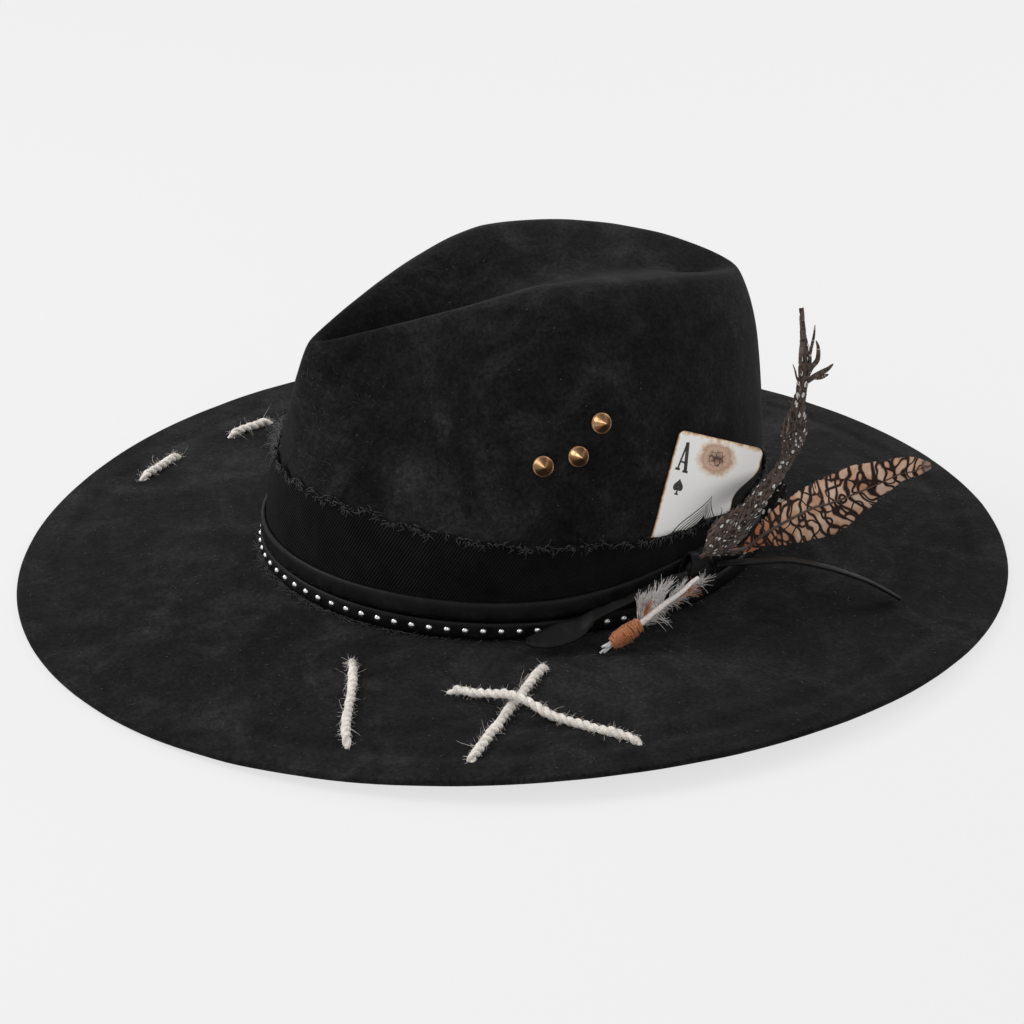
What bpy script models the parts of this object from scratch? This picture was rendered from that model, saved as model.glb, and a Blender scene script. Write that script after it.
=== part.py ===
"""Wide brim fedora: one blocked felt body with its band, straps, studs, card, feathers and stitches.

The brim's lowest edge is at z = 0, the crown stands on the origin, the front of the hat is -Y and
the trimmed left side is +X. All lengths are in metres.
A turn is the angle round the crown from the front, towards the trimmed side.
"""
import math
from collections import namedtuple

import bmesh
import bpy
from mathutils import Matrix, Vector

# Felt body
FELT_WALL = 0.0024
CROWN_HALF_LENGTH = 0.101
CROWN_HALF_WIDTH = 0.084
CROWN_RISE = 0.1188
BRIM_REACH_ALONG = 0.101
BRIM_REACH_ACROSS = 0.102
BRIM_RISE = 0.0118
BRIM_SIDE_LIFT = 0.0075
BRIM_ROOT_SAG = 0.0040
EDGE_RELIEF = 0.0007
RIDGE_FRONT_DROP = 0.024
RIDGE_BACK_DROP = 0.015
RIDGE_FRONT_CURVE = 1.3
RIDGE_BACK_CURVE = 2.2
DENT_DEPTH = 0.019
DENT_FRONT_REACH = 0.066
DENT_BACK_REACH = 0.074
PINCH_TURN = math.radians(40)
PINCH_SPREAD = math.radians(17)
COLUMNS = 48
SMOOTH_BELOW = math.radians(40)

# Band and straps
SEAT_GAP = 0.0004
BAND_GAP = 0.0007
BAND_HEIGHT = 0.0350
BAND_TILT = 0.0090
BAND_WALL = 0.0010
BAND_FOOT_GAP = 0.0008
STUDDED_STRAP_WIDTH = 0.0070
PLAIN_STRAP_WIDTH = 0.0078
STRAP_WALL = 0.0016
STRAP_RISE_AT_KNOT = 0.0060
STRAP_RISE_SPREAD = math.radians(20)
STUD_RADIUS = 0.0014
STUD_STANDS = 0.0011
STUD_PITCH = 0.0070
STUD_SINK = 0.0006
STUD_SIDES = 8
STUD_TOP_SHARE = 0.55
STUDS_STOP = math.radians(98)
STUDS_RESUME = math.radians(165)

# Knot and its two free ends
KNOT_TURN = math.radians(113.5)
KNOT_LENGTH = 0.016
KNOT_HEIGHT = 0.017
KNOT_DEPTH = 0.009
TAIL_WALL = 0.0014
LONG_TAIL_WIDTH = 0.0052
LONG_TAIL_REACH = 0.0655
LONG_TAIL_ARCH = 0.0227
SHORT_TAIL_REACH = 0.0170
SHORT_TAIL_RISE = 0.0217

# Cone studs
CONE_RADIUS = 0.0040
CONE_HEIGHT = 0.0065
CONE_SIDES = 14
CONE_TANGENT_STEP = math.radians(0.5)

# Card
CARD_WIDTH = 0.042
CARD_HEIGHT = 0.0425
CARD_CORNER = 0.003
CARD_WALL = 0.0005
CARD_TUCK = 0.007
CARD_TURN = math.radians(105)
CARD_ROLL = math.radians(24)
CARD_LEAN = math.radians(10)
CARD_STRAIGHTENS_OVER = 0.015
CARD_COLUMN_SHARES = (0.3, 0.5, 0.7)
CARD_CORNER_SHARE = 0.3
CARD_ROWS = 7
BULGE_MARGIN = math.radians(10)

# Feathers and their binding
FEATHER_WALL = 0.0012
FEATHER_EDGE = 0.0005
GUINEA_REACH = 0.0260
GUINEA_RISE = 0.1178
GUINEA_WIDTH = 0.0130
DARK_GUINEA_REACH = 0.0190
DARK_GUINEA_RISE = 0.0450
DARK_GUINEA_WIDTH = 0.0080
PHEASANT_REACH = 0.0695
PHEASANT_RISE = 0.0494
PHEASANT_WIDTH = 0.0235
QUILL_REACH = 0.0205
QUILL_RISE = 0.0190
QUILL_WIDTH = 0.0120
QUILL_WALL = 0.0020
WRAP_RADIUS = 0.0045
WRAP_SIDES = 12
WRAP_FROM = 0.10
WRAP_TO = 0.36
WRAPPED_QUILL_SHARE = 0.30
WRAP_SPANS = 5
WRAP_END_SHARE = 0.80

# Twine stitches
TWINE_RADIUS = 0.0019
TWINE_GAP = 0.0005
TWINE_SIDES = 8
TWINE_STEPS = 14
HUMP_SPREAD = 0.20
HALVINGS = 40

BrimRow = namedtuple("BrimRow", "reach fall relief")
BRIM_ROWS = (
    # shares of the brim's width, of its fall and of the edge relief, from the edge to the root
    BrimRow(1.000, 1.000, 0.0),
    BrimRow(0.955, 0.955, 0.5),
    BrimRow(0.895, 0.900, 1.0),
    BrimRow(0.840, 0.848, -0.7),
    BrimRow(0.770, 0.775, 1.0),
    BrimRow(0.680, 0.670, 0.0),
    BrimRow(0.500, 0.450, 0.0),
    BrimRow(0.320, 0.250, 0.0),
    BrimRow(0.150, 0.090, 0.0),
    BrimRow(0.050, 0.020, 0.0),
)

CrownRow = namedtuple("CrownRow", "height width front back taper pinch")
CROWN_ROWS = (
    # shares of the rise, the half width and the half length in front and behind, then how far the
    # front narrows and how deep the two pinches press
    CrownRow(0.000, 1.000, 1.000, 1.000, 0.00, 0.00),
    CrownRow(0.100, 0.995, 0.997, 1.004, 0.00, 0.00),
    CrownRow(0.220, 0.982, 0.990, 1.010, 0.01, 0.02),
    CrownRow(0.360, 0.955, 0.974, 1.012, 0.04, 0.06),
    CrownRow(0.500, 0.915, 0.950, 1.008, 0.11, 0.12),
    CrownRow(0.640, 0.858, 0.928, 1.000, 0.22, 0.17),
    CrownRow(0.770, 0.788, 0.906, 0.988, 0.35, 0.18),
    CrownRow(0.870, 0.705, 0.882, 0.972, 0.47, 0.15),
    CrownRow(0.945, 0.605, 0.860, 0.950, 0.57, 0.09),
    CrownRow(0.988, 0.515, 0.842, 0.930, 0.63, 0.03),
    CrownRow(1.000, 0.450, 0.828, 0.915, 0.66, 0.00),
)

DENT_ROWS = (0.12, 0.28, 0.46, 0.64, 0.82, 1.00)

DentDepth = namedtuple("DentDepth", "forward share")
DENT_DEPTHS = (
    # how far forward of the middle, from -1 at the back end to 1 at the front end, and the depth there
    DentDepth(-1.00, 0.16),
    DentDepth(-0.50, 0.40),
    DentDepth(0.00, 0.72),
    DentDepth(0.60, 1.00),
    DentDepth(1.00, 0.40),
)

TrimRow = namedtuple("TrimRow", "turn out lift width")
# Each row is a turn in degrees, then shares of the piece's reach, rise and width.
LONG_TAIL_ROWS = (
    TrimRow(116.5, 0.211, 0.90, 1.0),
    TrimRow(118.4, 0.320, 1.00, 1.0),
    TrimRow(121.5, 0.400, 1.00, 1.0),
    TrimRow(124.3, 0.472, 0.99, 1.0),
    TrimRow(126.9, 0.551, 0.93, 1.0),
    TrimRow(130.6, 0.678, 0.76, 1.0),
    TrimRow(133.9, 0.815, 0.54, 1.0),
    TrimRow(136.2, 0.910, 0.32, 1.0),
    TrimRow(138.0, 1.000, 0.10, 0.9),
)
GUINEA_ROWS = (
    TrimRow(111.9, 0.51, 0.227, 0.30),
    TrimRow(114.8, 0.55, 0.247, 0.86),
    TrimRow(118.5, 0.60, 0.283, 0.97),
    TrimRow(121.9, 0.66, 0.324, 0.74),
    TrimRow(125.1, 0.71, 0.362, 0.56),
    TrimRow(128.3, 0.76, 0.400, 0.45),
    TrimRow(131.3, 0.80, 0.434, 0.42),
    TrimRow(133.4, 0.84, 0.470, 0.40),
    TrimRow(134.2, 0.88, 0.522, 0.66),
    TrimRow(134.3, 0.90, 0.571, 0.77),
    TrimRow(134.2, 0.94, 0.647, 0.47),
    TrimRow(134.5, 0.98, 0.723, 0.32),
    TrimRow(134.9, 1.00, 0.815, 0.38),
    TrimRow(134.8, 0.95, 0.910, 0.18),
    TrimRow(134.9, 0.90, 1.000, 0.15),
)
DARK_GUINEA_ROWS = (
    TrimRow(118.0, 0.50, 0.50, 0.12),
    TrimRow(123.0, 0.56, 0.43, 0.20),
    TrimRow(128.0, 0.62, 0.38, 0.35),
    TrimRow(132.5, 0.68, 0.41, 0.65),
    TrimRow(135.0, 0.72, 0.52, 0.95),
    TrimRow(136.8, 0.74, 0.64, 1.00),
    TrimRow(138.8, 0.78, 0.75, 0.75),
    TrimRow(139.8, 0.82, 0.85, 0.30),
)
PHEASANT_ROWS = (
    TrimRow(116.9, 0.186, 0.520, 0.10),
    TrimRow(124.5, 0.200, 0.430, 0.16),
    TrimRow(128.6, 0.245, 0.487, 0.37),
    TrimRow(131.5, 0.286, 0.516, 0.57),
    TrimRow(135.0, 0.340, 0.541, 0.75),
    TrimRow(138.3, 0.400, 0.563, 0.89),
    TrimRow(141.4, 0.466, 0.581, 0.97),
    TrimRow(143.9, 0.535, 0.637, 0.93),
    TrimRow(146.0, 0.611, 0.709, 0.83),
    TrimRow(147.5, 0.708, 0.789, 0.63),
    TrimRow(148.3, 0.814, 0.883, 0.42),
    TrimRow(148.7, 0.906, 0.930, 0.34),
    TrimRow(148.9, 0.995, 0.965, 0.10),
)
QUILL_ROWS = (
    TrimRow(88.9, 1.00, 0.13, 0.22),
    TrimRow(91.0, 1.00, 0.26, 0.25),
    TrimRow(93.2, 1.00, 0.39, 0.28),
    TrimRow(96.4, 0.97, 0.55, 0.30),
    TrimRow(98.5, 0.94, 0.66, 0.75),
    TrimRow(101.8, 0.90, 0.80, 1.00),
    TrimRow(105.5, 0.87, 0.92, 0.90),
    TrimRow(108.5, 0.79, 1.00, 0.40),
    TrimRow(111.0, 0.74, 1.03, 0.22),
)

EdgePair = namedtuple("EdgePair", "upper_turn upper_out upper_lift lower_turn lower_out lower_lift")
SHORT_TAIL_ROWS = (
    EdgePair(109.0, 0.72, 1.02, 108.5, 0.84, 0.83),
    EdgePair(103.4, 0.62, 0.97, 102.1, 0.84, 0.88),
    EdgePair(97.5, 0.54, 0.80, 97.0, 0.76, 0.74),
    EdgePair(92.5, 0.50, 0.68, 91.7, 0.70, 0.59),
    EdgePair(89.2, 0.48, 0.59, 87.5, 0.74, 0.49),
    EdgePair(85.9, 0.47, 0.50, 84.1, 0.88, 0.26),
    EdgePair(80.6, 0.50, 0.40, 79.7, 0.98, 0.17),
    EdgePair(77.4, 0.60, 0.30, 76.3, 0.98, 0.19),
    EdgePair(75.4, 0.68, 0.25, 74.3, 0.90, 0.25),
)

ProfilePoint = namedtuple("ProfilePoint", "radius rise")
CONE_PROFILE = (
    # shares of the cone's radius and height, from its tip down to the middle of its foot
    ProfilePoint(0.00, 1.00),
    ProfilePoint(0.12, 0.97),
    ProfilePoint(0.86, 0.20),
    ProfilePoint(1.00, 0.14),
    ProfilePoint(1.00, 0.00),
    ProfilePoint(0.00, 0.00),
)

ConeSeat = namedtuple("ConeSeat", "turn height")
CONE_SEATS = (
    # turn in degrees and share of the crown's rise
    ConeSeat(80.75, 0.556),
    ConeSeat(89.0, 0.567),
    ConeSeat(95.0, 0.654),
)

Stitch = namedtuple("Stitch", "name start_turn start_reach end_turn end_reach over over_at")
STITCHES = (
    # turns in degrees, shares of the brim's width, then how many strands it crosses and where
    Stitch("bar_stitch", 43.7, 0.285, 51.8, 0.814, 0, 0.5),
    Stitch("cross_stitch_short", 77.6, 0.246, 66.7, 0.884, 0, 0.5),
    Stitch("cross_stitch_long", 62.2, 0.408, 85.7, 0.857, 1, 0.33),
    Stitch("brim_stitch_1", -43.6, 0.750, -52.2, 0.740, 0, 0.5),
    Stitch("brim_stitch_2", -61.1, 0.697, -68.7, 0.688, 0, 0.5),
)
TRIMMED_SIDE = Vector((0.94, -0.20, 0.25)).normalized()

PALETTE = {
    "black_felt": ((0.010, 0.010, 0.011), 0.95, 0.0),
    "black_twill": ((0.013, 0.013, 0.014), 0.90, 0.0),
    "black_leather": ((0.014, 0.013, 0.013), 0.50, 0.0),
    "brass": ((0.55, 0.32, 0.14), 0.30, 1.0),
    "card": ((0.88, 0.87, 0.84), 0.45, 0.0),
    "guinea": ((0.16, 0.13, 0.12), 0.80, 0.0),
    "dark_guinea": ((0.03, 0.03, 0.03), 0.80, 0.0),
    "pheasant": ((0.50, 0.25, 0.12), 0.80, 0.0),
    "quill": ((0.80, 0.78, 0.74), 0.60, 0.0),
    "copper_thread": ((0.42, 0.16, 0.05), 0.75, 0.0),
    "twine": ((0.80, 0.75, 0.68), 0.95, 0.0),
}


def part_collection():
    collection = bpy.data.collections.new("wide_brim_fedora")
    bpy.context.scene.collection.children.link(collection)
    return collection


def material(name):
    found = bpy.data.materials.get(name)
    if found:
        return found
    colour, roughness, metallic = PALETTE[name]
    made = bpy.data.materials.new(name)
    made.use_nodes = True
    shader = made.node_tree.nodes["Principled BSDF"]
    shader.inputs["Base Color"].default_value = (*colour, 1.0)
    shader.inputs["Roughness"].default_value = roughness
    shader.inputs["Metallic"].default_value = metallic
    return made


def add_object(name, mesh, finish):
    node = bpy.data.objects.new(name, mesh)
    mesh.materials.append(material(finish))
    bpy.data.collections["wide_brim_fedora"].objects.link(node)
    mesh.shade_smooth()
    mesh.set_sharp_from_angle(angle=SMOOTH_BELOW)
    return node


def smooth_share(rows, value):
    """Read the second column of a table at a value of its first, on a smooth curve through its rows."""
    last = len(rows) - 2
    index = max(i for i in range(last + 1) if i == 0 or rows[i][0] <= value)
    (x0, y0), (x1, y1) = rows[index], rows[index + 1]
    before = rows[max(index - 1, 0)]
    after = rows[min(index + 2, last + 1)]
    step = x1 - x0
    slope0 = (y1 - before[1]) / (x1 - before[0])
    slope1 = (after[1] - y0) / (after[0] - x0)
    u = min(max((value - x0) / step, 0.0), 1.0)
    return ((2 * u**3 - 3 * u**2 + 1) * y0 + (u**3 - 2 * u**2 + u) * step * slope0
            + (3 * u**2 - 2 * u**3) * y1 + (u**3 - u**2) * step * slope1)


def root_height(turn):
    """Height of the brim's upper face where the crown rises from it."""
    return FELT_WALL + BRIM_RISE - BRIM_ROOT_SAG * math.sin(turn) ** 2


def edge_height(turn):
    return FELT_WALL + BRIM_SIDE_LIFT * abs(math.sin(turn)) ** 3


def ridge_height(turn):
    """Height of the crest that runs round the top dent, highest just behind the middle."""
    forward = math.cos(turn)
    peak = FELT_WALL + BRIM_RISE + CROWN_RISE
    if forward > 0:
        return peak - RIDGE_FRONT_DROP * forward ** RIDGE_FRONT_CURVE
    return peak - RIDGE_BACK_DROP * (-forward) ** RIDGE_BACK_CURVE


def brim_point(row, turn):
    across = CROWN_HALF_WIDTH + BRIM_REACH_ACROSS * row.reach
    along = CROWN_HALF_LENGTH + BRIM_REACH_ALONG * row.reach
    rise = root_height(turn) + (edge_height(turn) - root_height(turn)) * row.fall
    return Vector((across * math.sin(turn), -along * math.cos(turn), rise + row.relief * EDGE_RELIEF))


def crown_point(row, turn):
    forward = math.cos(turn)
    length = CROWN_HALF_LENGTH * (row.front if forward > 0 else row.back)
    narrowing = row.taper * ((1 + forward) / 2) ** 3
    away = abs(math.atan2(math.sin(turn), forward)) - PINCH_TURN
    pinch = row.pinch * math.exp(-(away / PINCH_SPREAD) ** 2)
    across = CROWN_HALF_WIDTH * row.width * (1 - narrowing - pinch)
    rise = root_height(turn) + row.height * (ridge_height(turn) - root_height(turn))
    return Vector((across * math.sin(turn), -length * forward, rise))


def dent_point(inward, turn):
    """A point of the top dent, inward being 0 on the crest and 1 on the line of its floor."""
    crest = crown_point(CROWN_ROWS[-1], turn)
    forward = math.cos(turn)
    reach = DENT_FRONT_REACH if forward > 0 else DENT_BACK_REACH
    depth = DENT_DEPTH * smooth_share(DENT_DEPTHS, forward)
    fall = inward * inward * (3 - 2 * inward)
    return Vector((crest.x * (1 - inward), crest.y + (-reach * forward - crest.y) * inward,
                   crest.z - depth * fall))


def turns(count=COLUMNS):
    return [2 * math.pi * column / count for column in range(count)]


def side_point(turn, height, stand_off=0.0):
    """A point level with height on the crown's side, stand_off outside the felt."""
    upper = next(i for i in range(1, len(CROWN_ROWS))
                 if crown_point(CROWN_ROWS[i], turn).z >= height or i == len(CROWN_ROWS) - 1)
    low, high = crown_point(CROWN_ROWS[upper - 1], turn), crown_point(CROWN_ROWS[upper], turn)
    point = low.lerp(high, (height - low.z) / (high.z - low.z))
    return point + outward(turn) * stand_off


def outward(turn):
    """The level direction straight out from the crown's side."""
    return Vector((math.sin(turn) / CROWN_HALF_WIDTH, -math.cos(turn) / CROWN_HALF_LENGTH, 0)).normalized()


def ring_faces(mesh, lower, upper):
    for i in range(len(lower)):
        j = (i + 1) % len(lower)
        mesh.faces.new((lower[i], lower[j], upper[j], upper[i]))


def finished(name, mesh, finish):
    bmesh.ops.recalc_face_normals(mesh, faces=mesh.faces)
    data = bpy.data.meshes.new(name)
    mesh.to_mesh(data)
    mesh.free()
    return add_object(name, data, finish)


def felt_body():
    """The outer face of brim, crown and dent as one open sheet, given its wall inwards."""
    rows = [[brim_point(row, turn) for turn in turns()] for row in BRIM_ROWS]
    rows += [[crown_point(row, turn) for turn in turns()] for row in CROWN_ROWS]
    rows += [[dent_point(inward, turn) for turn in turns()] for inward in DENT_ROWS]
    mesh = bmesh.new()
    rings = [[mesh.verts.new(point) for point in row] for row in rows]
    for lower, upper in zip(rings, rings[1:]):
        ring_faces(mesh, lower, upper)
    bmesh.ops.remove_doubles(mesh, verts=rings[-1], dist=0.00001)
    data = bpy.data.meshes.new("felt_body")
    mesh.to_mesh(data)
    mesh.free()
    node = add_object("felt_body", data, "black_felt")
    wall = node.modifiers.new("wall", "SOLIDIFY")
    wall.thickness = FELT_WALL
    wall.offset = -1.0
    wall.use_even_offset = True
    return node


def band_ring(name, low, high, stand_off, wall, finish, levels=2):
    """A closed band round the crown from height low(turn) to high(turn), wall thick."""
    mesh = bmesh.new()
    inner, outer = [], []
    for level in range(levels):
        share = level / (levels - 1)
        heights = [low(turn) + (high(turn) - low(turn)) * share for turn in turns()]
        for face, extra in ((inner, 0.0), (outer, wall)):
            face.append([mesh.verts.new(side_point(turn, height, stand_off(turn) + extra))
                         for turn, height in zip(turns(), heights)])
    loop = outer + inner[::-1]
    for lower, upper in zip(loop, loop[1:] + loop[:1]):
        ring_faces(mesh, lower, upper)
    return finished(name, mesh, finish)


def brim_top(turn, out):
    """Height of the brim's upper face, out metres outside the crown's foot."""
    width = BRIM_REACH_ACROSS * math.sin(turn) ** 2 + BRIM_REACH_ALONG * math.cos(turn) ** 2
    reach = out / width
    inner = brim_point(BrimRow(0.0, 0.0, 0.0), turn).z
    inner_reach = 0.0
    for row in reversed(BRIM_ROWS):
        height = brim_point(row, turn).z
        if reach <= row.reach:
            return inner + (height - inner) * (reach - inner_reach) / (row.reach - inner_reach)
        inner, inner_reach = height, row.reach
    return inner


def trim_point(turn, out, lift):
    """A point out metres outside the crown's foot and lift above the brim there."""
    across, along = CROWN_HALF_WIDTH + out, CROWN_HALF_LENGTH + out
    return Vector((across * math.sin(turn), -along * math.cos(turn), brim_top(turn, out) + lift))


def strap_foot(turn):
    return root_height(turn) + BAND_FOOT_GAP


def band_top(turn):
    return strap_foot(turn) + BAND_HEIGHT + BAND_TILT * math.cos(turn)


def card_turn(along):
    """The turn that lies along metres round the crown from the card's lower left corner."""
    radius = math.hypot(CROWN_HALF_WIDTH * math.cos(CARD_TURN), CROWN_HALF_LENGTH * math.sin(CARD_TURN))
    return CARD_TURN + along / radius


def band_stand_off(turn):
    """The band lies on the felt, and swells outwards over the tucked end of the card."""
    ends = (card_turn(-CARD_TUCK) - BULGE_MARGIN, card_turn(-CARD_TUCK),
            card_turn(CARD_WIDTH), card_turn(CARD_WIDTH) + BULGE_MARGIN)
    place = turn % (2 * math.pi)
    rising = min(max((place - ends[0]) / (ends[1] - ends[0]), 0.0), 1.0)
    falling = min(max((ends[3] - place) / (ends[3] - ends[2]), 0.0), 1.0)
    return BAND_GAP + (CARD_WALL + SEAT_GAP) * min(rising, falling)


def strap_stand_off(turn):
    return band_stand_off(turn) + BAND_WALL + SEAT_GAP


def plain_strap_foot(turn):
    away = math.remainder(turn - KNOT_TURN, 2 * math.pi)
    rise = STRAP_RISE_AT_KNOT * math.exp(-(away / STRAP_RISE_SPREAD) ** 2)
    return strap_foot(turn) + STUDDED_STRAP_WIDTH + SEAT_GAP + rise


def twill_band():
    return band_ring("twill_band", strap_foot, band_top, band_stand_off, BAND_WALL,
                     "black_twill", levels=4)


def leather_strip():
    return band_ring("leather_strip", plain_strap_foot,
                     lambda turn: plain_strap_foot(turn) + PLAIN_STRAP_WIDTH,
                     strap_stand_off, STRAP_WALL, "black_leather")


def join_into(node, others):
    """Fuse other objects into node and take them away."""
    for other in others:
        union = node.modifiers.new("fuse", "BOOLEAN")
        union.operation = "UNION"
        union.object = other
    graph = bpy.context.evaluated_depsgraph_get()
    fused = bpy.data.meshes.new_from_object(node.evaluated_get(graph))
    node.modifiers.clear()
    node.data = fused
    for other in others:
        bpy.data.objects.remove(other)
    return node


def studded_strip():
    strap = band_ring("studded_strip", strap_foot, lambda turn: strap_foot(turn) + STUDDED_STRAP_WIDTH,
                      strap_stand_off, STRAP_WALL, "black_leather")
    face = [side_point(turn, strap_foot(turn) + STUDDED_STRAP_WIDTH / 2,
                       strap_stand_off(turn) + STRAP_WALL) for turn in turns() + [2 * math.pi]]
    lengths = [0.0]
    for start, end in zip(face, face[1:]):
        lengths.append(lengths[-1] + (end - start).length)
    count = round(lengths[-1] / STUD_PITCH)
    mesh = bmesh.new()
    for stud in range(count):
        place = lengths[-1] * (stud + 0.5) / count
        i = next(k for k in range(1, len(lengths)) if lengths[k] >= place)
        share = (place - lengths[i - 1]) / (lengths[i] - lengths[i - 1])
        seat = face[i - 1].lerp(face[i], share)
        turn = math.atan2(seat.x / CROWN_HALF_WIDTH, -seat.y / CROWN_HALF_LENGTH)
        if STUDS_STOP < turn < STUDS_RESUME:
            continue
        run = (face[i] - face[i - 1]).normalized()
        axis = run.cross(Vector((0, 0, 1))).normalized()
        stand = Matrix.Translation(seat + axis * (STUD_STANDS - STUD_SINK) / 2)
        bmesh.ops.create_cone(mesh, cap_ends=True, segments=STUD_SIDES, radius1=STUD_RADIUS,
                              radius2=STUD_RADIUS * STUD_TOP_SHARE, depth=STUD_STANDS + STUD_SINK,
                              matrix=stand @ axis.to_track_quat("Z", "Y").to_matrix().to_4x4())
    studs = finished("studs", mesh, "brass")
    return join_into(strap, [studs])


def loft(name, sections, finish):
    """A closed solid through sections of equal point counts, with flat ends."""
    mesh = bmesh.new()
    rings = [[mesh.verts.new(point) for point in section] for section in sections]
    for lower, upper in zip(rings, rings[1:]):
        ring_faces(mesh, lower, upper)
    mesh.faces.new(rings[0])
    mesh.faces.new(rings[-1])
    return finished(name, mesh, finish)


def route(rows, reach, rise):
    return [trim_point(math.radians(row.turn), row.out * reach, row.lift * rise) for row in rows]


def directions(points):
    """The unit direction of travel at each point of a route."""
    last = len(points) - 1
    return [(points[min(i + 1, last)] - points[max(i - 1, 0)]).normalized() for i in range(last + 1)]


def leather_knot():
    out = strap_stand_off(KNOT_TURN) + STRAP_WALL + SEAT_GAP + KNOT_DEPTH / 2
    middle = plain_strap_foot(KNOT_TURN) + PLAIN_STRAP_WIDTH / 2
    bpy.ops.mesh.primitive_cube_add(size=1)
    node = bpy.context.object
    data = node.data
    bpy.data.objects.remove(node)
    axis = outward(KNOT_TURN)
    along = axis.cross(Vector((0, 0, 1)))
    seat = side_point(KNOT_TURN, middle, out)
    for vertex in data.vertices:
        x, y, z = vertex.co
        vertex.co = (seat + along * (x * KNOT_LENGTH) + axis * (y * KNOT_DEPTH)
                     + Vector((0, 0, z * KNOT_HEIGHT)))
    node = add_object("leather_knot", data, "black_leather")
    rounding = node.modifiers.new("rounding", "BEVEL")
    rounding.width = KNOT_DEPTH * 0.4
    rounding.segments = 3
    return node


def tie_tail_long():
    points = route(LONG_TAIL_ROWS, LONG_TAIL_REACH, LONG_TAIL_ARCH)
    sections = []
    for row, point, travel in zip(LONG_TAIL_ROWS, points, directions(points)):
        side = travel.cross(Vector((0, 0, 1))).normalized() * LONG_TAIL_WIDTH * row.width / 2
        over = side.cross(travel).normalized() * TAIL_WALL / 2
        sections.append([point - side - over, point + side - over, point + side + over, point - side + over])
    return loft("tie_tail_long", sections, "black_leather")


def tie_tail_short():
    uppers, lowers = [], []
    for row in SHORT_TAIL_ROWS:
        uppers.append(trim_point(math.radians(row.upper_turn), row.upper_out * SHORT_TAIL_REACH,
                                 row.upper_lift * SHORT_TAIL_RISE))
        lowers.append(trim_point(math.radians(row.lower_turn), row.lower_out * SHORT_TAIL_REACH,
                                 row.lower_lift * SHORT_TAIL_RISE))
    sections = []
    for upper, lower, travel in zip(uppers, lowers, directions(lowers)):
        over = travel.cross(upper - lower).normalized() * TAIL_WALL / 2
        sections.append([lower - over, upper - over, upper + over, lower + over])
    return loft("tie_tail_short", sections, "black_leather")


def cone_stud(name, seat):
    """A turned spike, its foot seated on the crown's side."""
    turn = math.radians(seat.turn)
    height = root_height(turn) + seat.height * (ridge_height(turn) - root_height(turn))
    seat_middle = side_point(turn, height)
    round_the_crown = (side_point(turn + CONE_TANGENT_STEP, height)
                       - side_point(turn - CONE_TANGENT_STEP, height))
    up_the_crown = side_point(turn, height + CONE_RADIUS) - side_point(turn, height - CONE_RADIUS)
    axis = round_the_crown.cross(up_the_crown).normalized()
    data = bpy.data.meshes.new(name)
    corners = [(point.radius * CONE_RADIUS, 0, point.rise * CONE_HEIGHT) for point in CONE_PROFILE]
    data.from_pydata(corners, [(i, i + 1) for i in range(len(corners) - 1)], [])
    node = add_object(name, data, "brass")
    turned = node.modifiers.new("turned", "SCREW")
    turned.steps = CONE_SIDES
    turned.render_steps = CONE_SIDES
    turned.use_merge_vertices = True
    turned.merge_threshold = 0.00001
    node.location = seat_middle + axis * SEAT_GAP
    node.rotation_mode = "QUATERNION"
    node.rotation_quaternion = axis.to_track_quat("Z", "Y")
    return node


def card_point(across, up, extra=0.0):
    """A point of the card's inner face: bent round the crown at its foot, flat and leaning above."""
    base = side_point(CARD_TURN, band_top(CARD_TURN), SEAT_GAP + extra)
    along = across * math.cos(CARD_ROLL) + up * math.sin(CARD_ROLL)
    rise = up * math.cos(CARD_ROLL) - across * math.sin(CARD_ROLL)
    axis = outward(CARD_TURN)
    tangent = Vector((0, 0, 1)).cross(axis)
    lean = Vector((0, 0, math.cos(CARD_LEAN))) - axis * math.sin(CARD_LEAN)
    flat = base + tangent * along + lean * rise
    hugging = side_point(card_turn(along), base.z + rise, SEAT_GAP + extra)
    share = min(max(rise / CARD_STRAIGHTENS_OVER, 0.0), 1.0)
    share = share * share * (3 - 2 * share)
    return hugging.lerp(flat, share)


def playing_card():
    """The card's foot is level and out of sight behind the band."""
    r = CARD_CORNER
    width, height = CARD_WIDTH, CARD_HEIGHT
    near_corner = (0.0, r * CARD_CORNER_SHARE, r)
    columns = (*near_corner, *(width * share for share in CARD_COLUMN_SHARES),
               *(width - across for across in reversed(near_corner)))
    mesh = bmesh.new()
    grid = []
    for across in columns:
        from_edge = min(across, width - across, r)
        top = height - r + math.sqrt(max(r * r - (r - from_edge) ** 2, 0.0))
        foot = (across * math.sin(CARD_ROLL) - CARD_TUCK) / math.cos(CARD_ROLL)
        grid.append([mesh.verts.new(card_point(across, foot + (top - foot) * row / (CARD_ROWS - 1)))
                     for row in range(CARD_ROWS)])
    for left, right in zip(grid, grid[1:]):
        for i in range(CARD_ROWS - 1):
            mesh.faces.new((left[i], right[i], right[i + 1], left[i + 1]))
    data = bpy.data.meshes.new("playing_card")
    mesh.to_mesh(data)
    mesh.free()
    node = add_object("playing_card", data, "card")
    wall = node.modifiers.new("wall", "SOLIDIFY")
    wall.thickness = CARD_WALL
    wall.offset = 1.0
    return node


def vane(name, rows, reach, rise, width, wall, finish):
    """A feather's outer form, thickest along its quill and facing the trimmed side."""
    points = route(rows, reach, rise)
    sections = []
    for row, point, travel in zip(rows, points, directions(points)):
        side = travel.cross(TRIMMED_SIDE).normalized()
        face = side.cross(travel).normalized()
        half = side * (width * row.width / 2)
        thick, thin = face * wall / 2, face * FEATHER_EDGE / 2
        sections.append([point - half - thin, point - thick, point + half - thin,
                         point + half + thin, point + thick, point - half + thin])
    return loft(name, sections, finish)


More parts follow.
